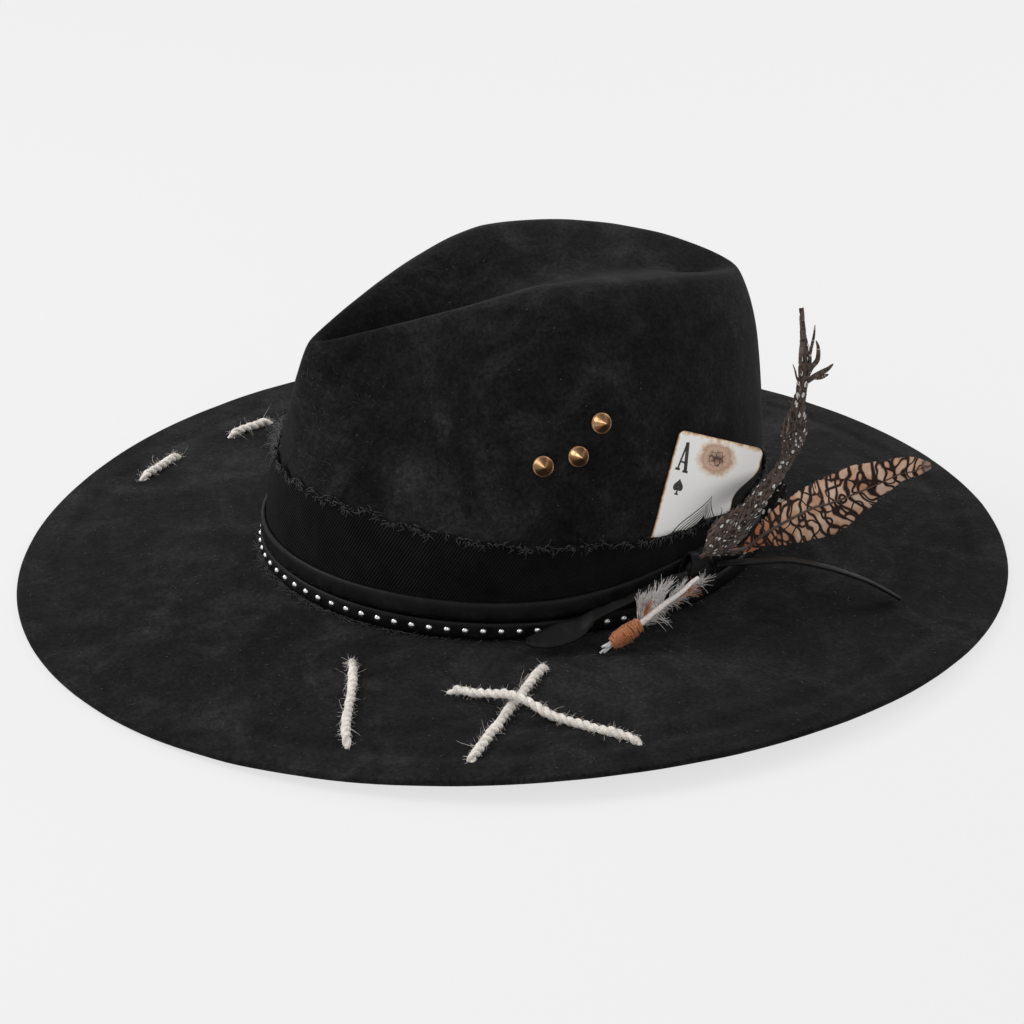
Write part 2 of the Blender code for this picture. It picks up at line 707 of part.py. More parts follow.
def thread_wrap():
    """A sleeve of thread round the lower end of the quill."""
    points = route(QUILL_ROWS, QUILL_REACH, QUILL_RISE)
    travels = directions(points)
    bore = math.hypot(QUILL_WIDTH * WRAPPED_QUILL_SHARE, QUILL_WALL) / 2 + SEAT_GAP
    stations = [WRAP_FROM + (WRAP_TO - WRAP_FROM) * step / WRAP_SPANS for step in range(WRAP_SPANS + 1)]
    last = len(points) - 1
    outer, inner = [], []
    mesh = bmesh.new()
    for number, station in enumerate(stations):
        i = min(int(station * last), last - 1)
        share = station * last - i
        middle = points[i].lerp(points[i + 1], share)
        travel = travels[i].lerp(travels[i + 1], share).normalized()
        side = travel.cross(TRIMMED_SIDE).normalized()
        face = side.cross(travel)
        swell = WRAP_END_SHARE + (1 - WRAP_END_SHARE) * math.sin(math.pi * number / WRAP_SPANS)
        for ring, radius in ((outer, WRAP_RADIUS * swell), (inner, bore)):
            ring.append([mesh.verts.new(middle + (side * math.cos(a) + face * math.sin(a)) * radius)
                         for a in turns(WRAP_SIDES)])
    loop = outer + inner[::-1]
    for lower, upper in zip(loop, loop[1:] + loop[:1]):
        ring_faces(mesh, lower, upper)
    return finished("thread_wrap", mesh, "copper_thread")


def stitch(spec):
    """One strand of twine laid on the brim, its ends dipping to the felt."""
    start = trim_point(math.radians(spec.start_turn), spec.start_reach * BRIM_REACH_ACROSS, 0)
    end = trim_point(math.radians(spec.end_turn), spec.end_reach * BRIM_REACH_ACROSS, 0)
    crossing = (TWINE_RADIUS * 2 + TWINE_GAP * 2) * spec.over
    points = []
    for step in range(TWINE_STEPS + 1):
        share = step / TWINE_STEPS
        place = start.lerp(end, share)
        turn, out = foot_polar(place)
        hump = crossing * math.exp(-((share - spec.over_at) / HUMP_SPREAD) ** 2)
        points.append(trim_point(turn, out, TWINE_RADIUS + TWINE_GAP + hump))
    sections = []
    for point, travel in zip(points, directions(points)):
        side = travel.cross(Vector((0, 0, 1))).normalized()
        over = side.cross(travel)
        sections.append([point + (side * math.cos(a) + over * math.sin(a)) * TWINE_RADIUS
                         for a in turns(TWINE_SIDES)])
    return loft(spec.name, sections, "twine")


def foot_polar(place):
    """The turn of a point of the brim, and its distance outside the crown's foot."""
    near, far = 0.0, 2 * max(BRIM_REACH_ACROSS, BRIM_REACH_ALONG)
    for _ in range(HALVINGS):
        out = (near + far) / 2
        across, along = place.x / (CROWN_HALF_WIDTH + out), place.y / (CROWN_HALF_LENGTH + out)
        near, far = (out, far) if across ** 2 + along ** 2 > 1 else (near, out)
    turn = math.atan2(place.x / (CROWN_HALF_WIDTH + near), -place.y / (CROWN_HALF_LENGTH + near))
    return turn, near


def main():
    for old in list(bpy.data.objects):
        bpy.data.objects.remove(old)
    part_collection()
    felt_body()
    twill_band()
    leather_strip()
    studded_strip()
    leather_knot()
    tie_tail_long()
    tie_tail_short()
    for number, seat in enumerate(CONE_SEATS, start=1):
        cone_stud(f"cone_stud_{number}", seat)
    playing_card()
    vane("guinea_feather", GUINEA_ROWS, GUINEA_REACH, GUINEA_RISE, GUINEA_WIDTH, FEATHER_WALL, "guinea")
    vane("dark_guinea_feather", DARK_GUINEA_ROWS, DARK_GUINEA_REACH, DARK_GUINEA_RISE,
         DARK_GUINEA_WIDTH, FEATHER_WALL, "dark_guinea")
    vane("pheasant_feather", PHEASANT_ROWS, PHEASANT_REACH, PHEASANT_RISE, PHEASANT_WIDTH,
         FEATHER_WALL, "pheasant")
    vane("feather_quill", QUILL_ROWS, QUILL_REACH, QUILL_RISE, QUILL_WIDTH, QUILL_WALL, "quill")
    thread_wrap()
    for spec in STITCHES:
        stitch(spec)


main()
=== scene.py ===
import math
import random
from collections import namedtuple

import bmesh
import bpy
import numpy as np
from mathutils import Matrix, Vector, noise


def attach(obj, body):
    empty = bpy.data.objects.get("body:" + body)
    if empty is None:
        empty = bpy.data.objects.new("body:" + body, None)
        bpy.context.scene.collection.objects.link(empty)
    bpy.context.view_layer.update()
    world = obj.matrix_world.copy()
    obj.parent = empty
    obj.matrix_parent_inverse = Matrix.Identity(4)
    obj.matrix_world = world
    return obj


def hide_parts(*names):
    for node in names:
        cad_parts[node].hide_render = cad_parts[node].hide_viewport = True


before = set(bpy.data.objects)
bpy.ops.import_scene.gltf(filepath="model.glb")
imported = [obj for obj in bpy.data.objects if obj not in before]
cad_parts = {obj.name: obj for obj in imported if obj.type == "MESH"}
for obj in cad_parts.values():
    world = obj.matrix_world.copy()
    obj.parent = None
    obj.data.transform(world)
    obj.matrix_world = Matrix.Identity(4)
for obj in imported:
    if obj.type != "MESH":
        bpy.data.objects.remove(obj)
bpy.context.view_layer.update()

UP = Vector((0, 0, 1))
TRIMMED_SIDE = Vector((0.94, -0.20, 0.25)).normalized()

# Sizes of the felt, band and straps, the same as the solids have
FELT_WALL = 0.0024
CROWN_HALF_LENGTH, CROWN_HALF_WIDTH, CROWN_RISE = 0.101, 0.084, 0.1188
BRIM_REACH_ALONG, BRIM_REACH_ACROSS = 0.101, 0.102
BRIM_RISE, BRIM_SIDE_LIFT, BRIM_ROOT_SAG = 0.0118, 0.0075, 0.0040
EDGE_RELIEF = 0.0004
RIDGE_FRONT_DROP, RIDGE_BACK_DROP = 0.024, 0.015
DENT_DEPTH, DENT_FRONT_REACH, DENT_BACK_REACH = 0.019, 0.066, 0.074
PINCH_TURN, PINCH_SPREAD = math.radians(40), math.radians(17)
SEAT_GAP, BAND_GAP = 0.0004, 0.0007
BAND_HEIGHT, BAND_TILT, BAND_WALL, BAND_FOOT_GAP = 0.0350, 0.0090, 0.0010, 0.0008
STUDDED_STRAP_WIDTH, PLAIN_STRAP_WIDTH, STRAP_WALL = 0.0070, 0.0078, 0.0016
STRAP_RISE_AT_KNOT, STRAP_RISE_SPREAD = 0.0060, math.radians(20)
STUD_RADIUS, STUD_STANDS, STUD_PITCH = 0.0014, 0.0011, 0.0070
STUDS_STOP, STUDS_RESUME = math.radians(98), math.radians(165)
KNOT_TURN, KNOT_LENGTH, KNOT_HEIGHT, KNOT_DEPTH = math.radians(113.5), 0.016, 0.017, 0.009
TAIL_WALL, LONG_TAIL_WIDTH, LONG_TAIL_REACH, LONG_TAIL_ARCH = 0.0014, 0.0052, 0.0655, 0.0227
SHORT_TAIL_REACH, SHORT_TAIL_RISE = 0.0170, 0.0217
CONE_RADIUS, CONE_HEIGHT = 0.0040, 0.0065
CARD_WIDTH, CARD_HEIGHT, CARD_CORNER, CARD_WALL, CARD_TUCK = 0.042, 0.0425, 0.003, 0.0005, 0.007
CARD_TURN, CARD_ROLL, CARD_LEAN = math.radians(105), math.radians(24), math.radians(10)
CARD_STRAIGHTENS_OVER, BULGE_MARGIN = 0.015, math.radians(10)
GUINEA_REACH, GUINEA_RISE, GUINEA_WIDTH = 0.0260, 0.1178, 0.0130
DARK_GUINEA_REACH, DARK_GUINEA_RISE, DARK_GUINEA_WIDTH = 0.0190, 0.0450, 0.0080
PHEASANT_REACH, PHEASANT_RISE, PHEASANT_WIDTH = 0.0695, 0.0494, 0.0235
QUILL_REACH, QUILL_RISE = 0.0205, 0.0190
WRAP_FROM, WRAP_TO = 0.10, 0.36
TWINE_RADIUS, TWINE_GAP, HUMP_SPREAD = 0.0019, 0.0005, 0.20

BrimRow = namedtuple("BrimRow", "reach fall relief")
BRIM_ROWS = (
    BrimRow(1.000, 1.000, 0.0),
    BrimRow(0.955, 0.955, 0.5),
    BrimRow(0.895, 0.900, 1.0),
    BrimRow(0.840, 0.848, -0.7),
    BrimRow(0.770, 0.775, 1.0),
    BrimRow(0.680, 0.670, 0.0),
    BrimRow(0.500, 0.450, 0.0),
    BrimRow(0.320, 0.250, 0.0),
    BrimRow(0.150, 0.090, 0.0),
    BrimRow(0.050, 0.020, 0.0),
    BrimRow(0.000, 0.000, 0.0),
)
CrownRow = namedtuple("CrownRow", "height width front back taper pinch")
CROWN_ROWS = (
    CrownRow(0.000, 1.000, 1.000, 1.000, 0.00, 0.00),
    CrownRow(0.100, 0.995, 0.997, 1.004, 0.00, 0.00),
    CrownRow(0.220, 0.982, 0.990, 1.010, 0.01, 0.02),
    CrownRow(0.360, 0.955, 0.974, 1.012, 0.04, 0.06),
    CrownRow(0.500, 0.915, 0.950, 1.008, 0.11, 0.12),
    CrownRow(0.640, 0.858, 0.928, 1.000, 0.22, 0.17),
    CrownRow(0.770, 0.788, 0.906, 0.988, 0.35, 0.18),
    CrownRow(0.870, 0.705, 0.882, 0.972, 0.47, 0.15),
    CrownRow(0.945, 0.605, 0.860, 0.950, 0.57, 0.09),
    CrownRow(0.988, 0.515, 0.842, 0.930, 0.63, 0.03),
    CrownRow(1.000, 0.450, 0.828, 0.915, 0.66, 0.00),
)
DentDepth = namedtuple("DentDepth", "forward share")
DENT_DEPTHS = (
    DentDepth(-1.00, 0.16),
    DentDepth(-0.50, 0.40),
    DentDepth(0.00, 0.72),
    DentDepth(0.60, 1.00),
    DentDepth(1.00, 0.40),
)
TrimRow = namedtuple("TrimRow", "turn out lift width")
LONG_TAIL_ROWS = (
    TrimRow(116.5, 0.211, 0.90, 1.0),
    TrimRow(118.4, 0.320, 1.00, 1.0),
    TrimRow(121.5, 0.400, 1.00, 1.0),
    TrimRow(124.3, 0.472, 0.99, 1.0),
    TrimRow(126.9, 0.551, 0.93, 1.0),
    TrimRow(130.6, 0.678, 0.76, 1.0),
    TrimRow(133.9, 0.815, 0.54, 1.0),
    TrimRow(136.2, 0.910, 0.32, 1.0),
    TrimRow(138.0, 1.000, 0.10, 0.9),
)
GUINEA_ROWS = (
    TrimRow(111.9, 0.51, 0.227, 0.30),
    TrimRow(114.8, 0.55, 0.247, 0.86),
    TrimRow(118.5, 0.60, 0.283, 0.97),
    TrimRow(121.9, 0.66, 0.324, 0.74),
    TrimRow(125.1, 0.71, 0.362, 0.56),
    TrimRow(128.3, 0.76, 0.400, 0.45),
    TrimRow(131.3, 0.80, 0.434, 0.42),
    TrimRow(133.4, 0.84, 0.470, 0.40),
    TrimRow(134.2, 0.88, 0.522, 0.66),
    TrimRow(134.3, 0.90, 0.571, 0.77),
    TrimRow(134.2, 0.94, 0.647, 0.47),
    TrimRow(134.5, 0.98, 0.723, 0.32),
    TrimRow(134.9, 1.00, 0.815, 0.38),
    TrimRow(134.8, 0.95, 0.910, 0.18),
    TrimRow(134.9, 0.90, 1.000, 0.15),
)
DARK_GUINEA_ROWS = (
    TrimRow(118.0, 0.50, 0.50, 0.12),
    TrimRow(123.0, 0.56, 0.43, 0.20),
    TrimRow(128.0, 0.62, 0.38, 0.35),
    TrimRow(132.5, 0.68, 0.41, 0.65),
    TrimRow(135.0, 0.72, 0.52, 0.95),
    TrimRow(136.8, 0.74, 0.64, 1.00),
    TrimRow(138.8, 0.78, 0.75, 0.75),
    TrimRow(139.8, 0.82, 0.85, 0.30),
)
PHEASANT_ROWS = (
    TrimRow(116.9, 0.186, 0.520, 0.10),
    TrimRow(124.5, 0.200, 0.430, 0.16),
    TrimRow(128.6, 0.245, 0.487, 0.37),
    TrimRow(131.5, 0.286, 0.516, 0.57),
    TrimRow(135.0, 0.340, 0.541, 0.75),
    TrimRow(138.3, 0.400, 0.563, 0.89),
    TrimRow(141.4, 0.466, 0.581, 0.97),
    TrimRow(143.9, 0.535, 0.637, 0.93),
    TrimRow(146.0, 0.611, 0.709, 0.83),
    TrimRow(147.5, 0.708, 0.789, 0.63),
    TrimRow(148.3, 0.814, 0.883, 0.42),
    TrimRow(148.7, 0.906, 0.930, 0.34),
    TrimRow(148.9, 0.995, 0.965, 0.10),
)
QUILL_ROWS = (
    TrimRow(88.9, 1.00, 0.13, 0.22),
    TrimRow(91.0, 1.00, 0.26, 0.25),
    TrimRow(93.2, 1.00, 0.39, 0.28),
    TrimRow(96.4, 0.97, 0.55, 0.30),
    TrimRow(98.5, 0.94, 0.66, 0.75),
    TrimRow(101.8, 0.90, 0.80, 1.00),
    TrimRow(105.5, 0.87, 0.92, 0.90),
    TrimRow(108.5, 0.79, 1.00, 0.40),
    TrimRow(111.0, 0.74, 1.03, 0.22),
)
EdgePair = namedtuple("EdgePair", "upper_turn upper_out upper_lift lower_turn lower_out lower_lift")
SHORT_TAIL_ROWS = (
    EdgePair(109.0, 0.72, 1.02, 108.5, 0.84, 0.83),
    EdgePair(103.4, 0.62, 0.97, 102.1, 0.84, 0.88),
    EdgePair(97.5, 0.54, 0.80, 97.0, 0.76, 0.74),
    EdgePair(92.5, 0.50, 0.68, 91.7, 0.70, 0.59),
    EdgePair(89.2, 0.48, 0.59, 87.5, 0.74, 0.49),
    EdgePair(85.9, 0.47, 0.50, 84.1, 0.88, 0.26),
    EdgePair(80.6, 0.50, 0.40, 79.7, 0.98, 0.17),
    EdgePair(77.4, 0.60, 0.30, 76.3, 0.98, 0.19),
    EdgePair(75.4, 0.68, 0.25, 74.3, 0.90, 0.25),
)
ConeSeat = namedtuple("ConeSeat", "turn height")
CONE_SEATS = (ConeSeat(80.75, 0.556), ConeSeat(89.0, 0.567), ConeSeat(95.0, 0.654))
Stitch = namedtuple("Stitch", "name start_turn start_reach end_turn end_reach over over_at")
STITCHES = (
    Stitch("bar_stitch", 43.7, 0.285, 51.8, 0.814, 0, 0.5),
    Stitch("cross_stitch_short", 77.6, 0.246, 66.7, 0.884, 0, 0.5),
    Stitch("cross_stitch_long", 62.2, 0.408, 85.7, 0.857, 1, 0.33),
    Stitch("brim_stitch_1", -43.6, 0.750, -52.2, 0.740, 0, 0.5),
    Stitch("brim_stitch_2", -61.1, 0.697, -68.7, 0.688, 0, 0.5),
)


# Node materials

def finish(name, roughness=0.8, metallic=0.0, **sockets):
    """A new material, with its shader and a function that adds nodes to it."""
    made = bpy.data.materials.new(name)
    made.use_nodes = True
    tree = made.node_tree
    shader = tree.nodes["Principled BSDF"]
    shader.inputs["Roughness"].default_value = roughness
    shader.inputs["Metallic"].default_value = metallic
    for socket, value in sockets.items():
        shader.inputs[socket.replace("_", " ")].default_value = value

    def add(kind, settings=None, **inputs):
        node = tree.nodes.new(kind)
        for key, value in (settings or {}).items():
            setattr(node, key, value)
        for key, value in inputs.items():
            index = int(key[1:]) if key[0] == "i" and key[1:].isdigit() else key.replace("_", " ")
            socket = node.inputs[index]
            if isinstance(value, bpy.types.NodeSocket):
                tree.links.new(value, socket)
            else:
                socket.default_value = value
        return node

    return made, shader, add, tree.links.new


def position(add, uv=False):
    """Places on the surface in metres: in the hat's frame, or along the piece's own UV."""
    coordinates = add("ShaderNodeTexCoord")
    return coordinates.outputs["UV" if uv else "Object"]


def speckle(add, where, scale, detail=4.0, rough=0.6, **more):
    return add("ShaderNodeTexNoise", Vector=where, Scale=scale, Detail=detail, Roughness=rough,
               **more).outputs["Fac"]


def ramp(add, share, *stops):
    node = add("ShaderNodeValToRGB", Fac=share)
    elements = node.color_ramp.elements
    elements.remove(elements[1])
    for number, (place, colour) in enumerate(stops):
        element = elements.new(place) if number else elements[0]
        element.position = place
        element.color = (*colour, 1.0) if len(colour) == 3 else (colour[0],) * 3 + (1.0,)
    return node.outputs["Color"]


def sums(add, operation, first, second=0.0, clamp=False):
    return add("ShaderNodeMath", {"operation": operation, "use_clamp": clamp},
               i0=first, i1=second).outputs[0]


def swing(add, value, amount):
    """How far a noise is from its middle, times an amount."""
    return sums(add, "MULTIPLY", sums(add, "SUBTRACT", value, 0.5), amount)


def blend_colour(add, share, first, second, kind="MIX"):
    node = add("ShaderNodeMix", {"data_type": "RGBA", "blend_type": kind, "clamp_factor": True})
    tree = node.id_data
    for index, value in ((0, share), (6, first), (7, second)):
        if isinstance(value, bpy.types.NodeSocket):
            tree.links.new(value, node.inputs[index])
        else:
            node.inputs[index].default_value = value if index == 0 else (*value, 1.0)
    return node.outputs[2]


def relief(add, height, depth, strength=1.0, under=None):
    more = {"Normal": under} if under else {}
    return add("ShaderNodeBump", Height=height, Distance=depth, Strength=strength, **more).outputs[0]


def stretched(add, place, *shares):
    """Places multiplied axis by axis, so that a pattern is drawn out along one of them."""
    return add("ShaderNodeVectorMath", {"operation": "MULTIPLY"}, i0=place, i1=shares).outputs[0]


def felt_finish():
    """Brushed felt: soft light and dark clouds, a fine nap and a little pale lint."""
    made, shader, add, link = finish("black_felt", 0.95, Specular_IOR_Level=0.05,
                                     Sheen_Weight=0.035, Sheen_Roughness=0.5)
    place = position(add)
    clouds = speckle(add, place, 26.0, 6.0, 0.66, Distortion=0.9)
    brushed = speckle(add, stretched(add, place, 1.0, 0.6, 1.0), 150.0, 4.0, 0.7)
    nap = speckle(add, place, 620.0, 3.0, 0.75)
    fibres = speckle(add, place, 1700.0, 2.0, 0.6)
    cloudy = ramp(add, clouds, (0.30, (0.0040, 0.0040, 0.0043)), (0.50, (0.0082, 0.0082, 0.0087)),
                  (0.68, (0.0175, 0.0175, 0.0182)))
    cloudy = blend_colour(add, 0.8, cloudy, ramp(add, brushed, (0.30, (0.60,)), (0.70, (1.50,))), "MULTIPLY")
    napped = blend_colour(add, 0.85, cloudy, ramp(add, nap, (0.30, (0.40,)), (0.72, (1.90,))), "MULTIPLY")
    lint = add("ShaderNodeTexVoronoi", {"feature": "F1"}, Vector=place, Scale=420.0)
    dots = sums(add, "LESS_THAN", lint.outputs["Distance"], 0.10)
    chosen = sums(add, "GREATER_THAN", speckle(add, place, 900.0, 1.0), 0.62)
    specks = sums(add, "MULTIPLY", dots, chosen)
    link(blend_colour(add, sums(add, "MULTIPLY", specks, 0.6), napped, (0.13, 0.13, 0.13)),
         shader.inputs["Base Color"])
    coarse = relief(add, sums(add, "ADD", clouds, sums(add, "MULTIPLY", brushed, 0.4)), 0.0010, 0.5)
    link(relief(add, sums(add, "ADD", nap, sums(add, "MULTIPLY", fibres, 0.5)), 0.00035, 0.7, coarse),
         shader.inputs["Normal"])
    return made


RIB_PITCH = 0.00105
RIB_SLANT = math.radians(35)


def twill_finish():
    """Diagonal ribs across the band, from its lengths along and up."""
    made, shader, add, link = finish("black_twill", 0.9, Specular_IOR_Level=0.08, Sheen_Weight=0.02)
    place = position(add, uv=True)
    turned = add("ShaderNodeVectorRotate", {"rotation_type": "Z_AXIS"}, Vector=place,
                 Angle=RIB_SLANT).outputs[0]
    ribs = add("ShaderNodeTexWave", {"bands_direction": "X"}, Vector=turned,
               Scale=2 * math.pi / 20 / RIB_PITCH, Distortion=0.6, Detail=2.0).outputs["Fac"]
    threads = speckle(add, place, 1800.0, 2.0)
    worn = speckle(add, place, 70.0, 5.0, 0.65)
    colour = blend_colour(add, ribs, (0.0006, 0.0006, 0.0007), (0.0062, 0.0062, 0.0066))
    colour = blend_colour(add, 0.8, colour, ramp(add, worn, (0.32, (0.35,)), (0.68, (1.9,))), "MULTIPLY")
    link(colour, shader.inputs["Base Color"])
    link(relief(add, sums(add, "ADD", ribs, sums(add, "MULTIPLY", threads, 0.4)), 0.0003, 0.9),
         shader.inputs["Normal"])
    return made


def leather_finish():
    made, shader, add, link = finish("black_leather", 0.5, Specular_IOR_Level=0.16)
    place = position(add)
    grain = add("ShaderNodeTexVoronoi", {"feature": "DISTANCE_TO_EDGE"}, Vector=place,
                Scale=900.0).outputs["Distance"]
    wear = speckle(add, place, 140.0, 5.0, 0.65)
    link(ramp(add, wear, (0.30, (0.0020, 0.0019, 0.0019)), (0.58, (0.0050, 0.0047, 0.0046)),
              (0.80, (0.016, 0.015, 0.014))), shader.inputs["Base Color"])
    link(ramp(add, wear, (0.3, (0.40,)), (0.75, (0.62,))), shader.inputs["Roughness"])
    creases = relief(add, wear, 0.0006, 0.35)
    link(relief(add, grain, 0.00015, 0.5, creases), shader.inputs["Normal"])
    return made


def metal_finish(name, bright, dull, roughness):
    made, shader, add, link = finish(name, roughness, 1.0)
    place = position(add)
    tarnish = speckle(add, place, 520.0, 4.0)
    link(ramp(add, tarnish, (0.35, bright), (0.75, dull)), shader.inputs["Base Color"])
    link(ramp(add, tarnish, (0.3, (roughness * 0.8,)), (0.8, (roughness * 1.6,))),
         shader.inputs["Roughness"])
    link(relief(add, speckle(add, place, 1600.0, 2.0), 0.0001, 0.25), shader.inputs["Normal"])
    return made


def thread_finish(name, dark, light, scale=900.0, roughness=0.85):
    made, shader, add, link = finish(name, roughness, Specular_IOR_Level=0.25, Sheen_Weight=0.2)
    place = position(add)
    fibres = speckle(add, place, scale, 4.0, 0.7)
    broad = speckle(add, place, scale * 0.12, 2.0)
    colour = ramp(add, fibres, (0.30, dark), (0.62, light))
    colour = blend_colour(add, 0.6, colour, ramp(add, broad, (0.3, (0.72,)), (0.7, (1.15,))), "MULTIPLY")
    link(colour, shader.inputs["Base Color"])
    link(relief(add, fibres, 0.0004, 0.8), shader.inputs["Normal"])
    return made


SCORCH_MIDDLE = (0.0205, 0.0348)
SCORCH_RADIUS = 0.0105
SCORCH_SQUEEZE = 1.35
SINGE_WIDTH = 0.0012


def card_finish():
    """Coated card with a crackled scorch near its top and browned edges, in metres across and up."""
    made, shader, add, link = finish("card", 0.42, Specular_IOR_Level=0.4)
    place = position(add, uv=True)
    parts = add("ShaderNodeSeparateXYZ", Vector=place)
    ragged = speckle(add, place, 300.0, 6.0, 0.7)
    offset = add("ShaderNodeVectorMath", {"operation": "SUBTRACT"}, i0=place,
                 i1=(*SCORCH_MIDDLE, 0.0)).outputs[0]
    far = add("ShaderNodeVectorMath", {"operation": "LENGTH"},
              i0=stretched(add, offset, 1.0, SCORCH_SQUEEZE, 0.0)).outputs["Value"]
    share = sums(add, "DIVIDE", far, SCORCH_RADIUS)
    torn = sums(add, "ADD", share, swing(add, ragged, 0.75))
    scorch = ramp(add, torn, (0.00, (0.10, 0.055, 0.040)), (0.12, (0.26, 0.145, 0.10)),
                  (0.30, (0.52, 0.33, 0.24)), (0.52, (0.62, 0.42, 0.31)), (0.66, (0.50, 0.31, 0.21)),
                  (0.82, (0.80, 0.66, 0.54)), (1.00, (0.92, 0.905, 0.88)))
    cells = add("ShaderNodeTexVoronoi", {"feature": "DISTANCE_TO_EDGE"}, Vector=place,
                Scale=430.0).outputs["Distance"]
    narrow = sums(add, "SUBTRACT", 0.17, sums(add, "MULTIPLY", share, 0.34), clamp=True)
    cracked = sums(add, "MULTIPLY", sums(add, "LESS_THAN", cells, narrow), 0.80)
    scorch = blend_colour(add, cracked, scorch, (0.045, 0.026, 0.022))
    to_side = sums(add, "MINIMUM", parts.outputs["X"], sums(add, "SUBTRACT", CARD_WIDTH, parts.outputs["X"]))
    to_top = sums(add, "SUBTRACT", CARD_HEIGHT, parts.outputs["Y"])
    edge = sums(add, "MINIMUM", to_side, sums(add, "MULTIPLY", to_top, 0.55))
    browned = sums(add, "ADD", sums(add, "DIVIDE", edge, SINGE_WIDTH), swing(add, ragged, 1.6))
    rim = ramp(add, browned, (0.00, (0.38, 0.20, 0.09)), (0.30, (0.80, 0.62, 0.44)), (0.75, (1.0, 1.0, 1.0)))
    link(blend_colour(add, 1.0, scorch, rim, "MULTIPLY"), shader.inputs["Base Color"])
    link(relief(add, ragged, 0.0002, 0.35), shader.inputs["Normal"])
    return made


def ink_finish():
    made, shader, add, link = finish("card_ink", 0.45)
    tired = speckle(add, position(add), 900.0, 3.0)
    link(ramp(add, tired, (0.35, (0.006, 0.006, 0.007)), (0.80, (0.05, 0.045, 0.045))),
         shader.inputs["Base Color"])
    return made


# drops in one metre of a feather
DROPS_ACROSS, DROPS_ALONG = 520.0, 260.0


def dotted(ground, dark, pale, spot, size):
    """Streaked along the barbs, with rows of pale drops ringed in dark."""
    def pattern(add, place):
        streaks = speckle(add, stretched(add, place, 1500.0, 110.0, 1.0), 1.0, 4.0, 0.65)
        colour = ramp(add, streaks, (0.30, dark), (0.46, ground), (0.58, ground), (0.68, pale))
        rows = stretched(add, place, DROPS_ACROSS, DROPS_ALONG, 1.0)
        cells = add("ShaderNodeTexVoronoi", {"feature": "F1"}, Vector=rows, Scale=1.0,
                    Randomness=0.42).outputs["Distance"]
        near = sums(add, "ADD", cells, swing(add, speckle(add, place, 900.0), 0.20))
        ring = ramp(add, near, (size + 0.12, (0.85,)), (size + 0.26, (0.0,)))
        drop = ramp(add, near, (size, (1.0,)), (size + 0.06, (0.0,)))
        return blend_colour(add, drop, blend_colour(add, ring, colour, dark), spot)
    return pattern


CHEVRON_PITCH, CHEVRON_SLANT = 0.0050, 0.55


def meanders(tip):
    """Dark brown wavy chevrons and outlined blotches on pinkish buff, rusty at the foot, grey at the tip."""
    def pattern(add, place):
        parts = add("ShaderNodeSeparateXYZ", Vector=place)
        across = sums(add, "ABSOLUTE", parts.outputs["X"])
        broad = swing(add, speckle(add, place, 110.0, 1.0), 0.0080)
        slanted = sums(add, "SUBTRACT", parts.outputs["Y"], sums(add, "MULTIPLY", across, CHEVRON_SLANT))
        phase = sums(add, "FRACT", sums(add, "DIVIDE", sums(add, "ADD", slanted, broad), CHEVRON_PITCH))
        line = sums(add, "ABSOLUTE", sums(add, "SUBTRACT", phase, 0.5))
        loops = sums(add, "ABSOLUTE", sums(add, "SUBTRACT", speckle(add, place, 180.0, 0.0), 0.5))
        near = sums(add, "MINIMUM", line, sums(add, "MULTIPLY", loops, 3.4))
        near = sums(add, "ADD", near, swing(add, speckle(add, place, 1400.0, 2.0), 0.03))
        tone = speckle(add, place, 120.0, 3.0)
        buff = ramp(add, tone, (0.32, (0.54, 0.27, 0.15)), (0.48, (0.68, 0.44, 0.31)),
                    (0.66, (0.78, 0.59, 0.46)))
        along = sums(add, "DIVIDE", parts.outputs["Y"], tip)
        rust = ramp(add, along, (0.16, (0.9,)), (0.36, (0.0,)))
        buff = blend_colour(add, rust, buff, (0.42, 0.125, 0.040))
        colour = ramp(add, near, (0.11, (1.0,)), (0.17, (0.0,)))
        edged = ramp(add, near, (0.16, (0.55,)), (0.24, (0.0,)))
        buff = blend_colour(add, edged, buff, (0.25, 0.085, 0.035))
        barred = blend_colour(add, colour, buff, (0.020, 0.009, 0.006))
        grey = ramp(add, along, (0.93, (0.0,)), (0.97, (0.75,)))
        return blend_colour(add, grey, barred, (0.26, 0.17, 0.14))
    return pattern


def feather_finish(name, pattern, barb_pitch=0.0005, slant=1.1):
    """Barbs coloured by a pattern of the distances across and along the feather."""
    made, shader, add, link = finish(name, 0.65, Specular_IOR_Level=0.2, Sheen_Weight=0.05)
    place = position(add, uv=True)
    parts = add("ShaderNodeSeparateXYZ", Vector=place)
    run = sums(add, "SUBTRACT", parts.outputs["Y"],
               sums(add, "MULTIPLY", sums(add, "ABSOLUTE", parts.outputs["X"]), slant))
    barbs = sums(add, "SINE", sums(add, "MULTIPLY", run, 2 * math.pi / barb_pitch))
    colour = blend_colour(add, 0.5, pattern(add, place), ramp(add, barbs, (0.0, (0.70,)), (1.0, (1.15,))),
                          "MULTIPLY")
    link(colour, shader.inputs["Base Color"])
    fine = sums(add, "ADD", sums(add, "MULTIPLY", barbs, 0.5), speckle(add, place, 2600.0, 2.0))
    link(relief(add, fine, 0.00015, 0.7), shader.inputs["Normal"])
    return made


# Shapes of the hat

def curve_row(rows, place):
    """Read a table of rows at a fractional row number, on a smooth curve through its rows."""
    index = min(int(place), len(rows) - 2)
    u = place - index
    around = [rows[min(max(index + step, 0), len(rows) - 1)] for step in (-1, 0, 1, 2)]
    before, start, end, after = around
    return type(rows[0])(*(
        b + 0.5 * u * (c - a + u * (2 * a - 5 * b + 4 * c - d + u * (3 * (b - c) + d - a)))
        for a, b, c, d in zip(before, start, end, after)))


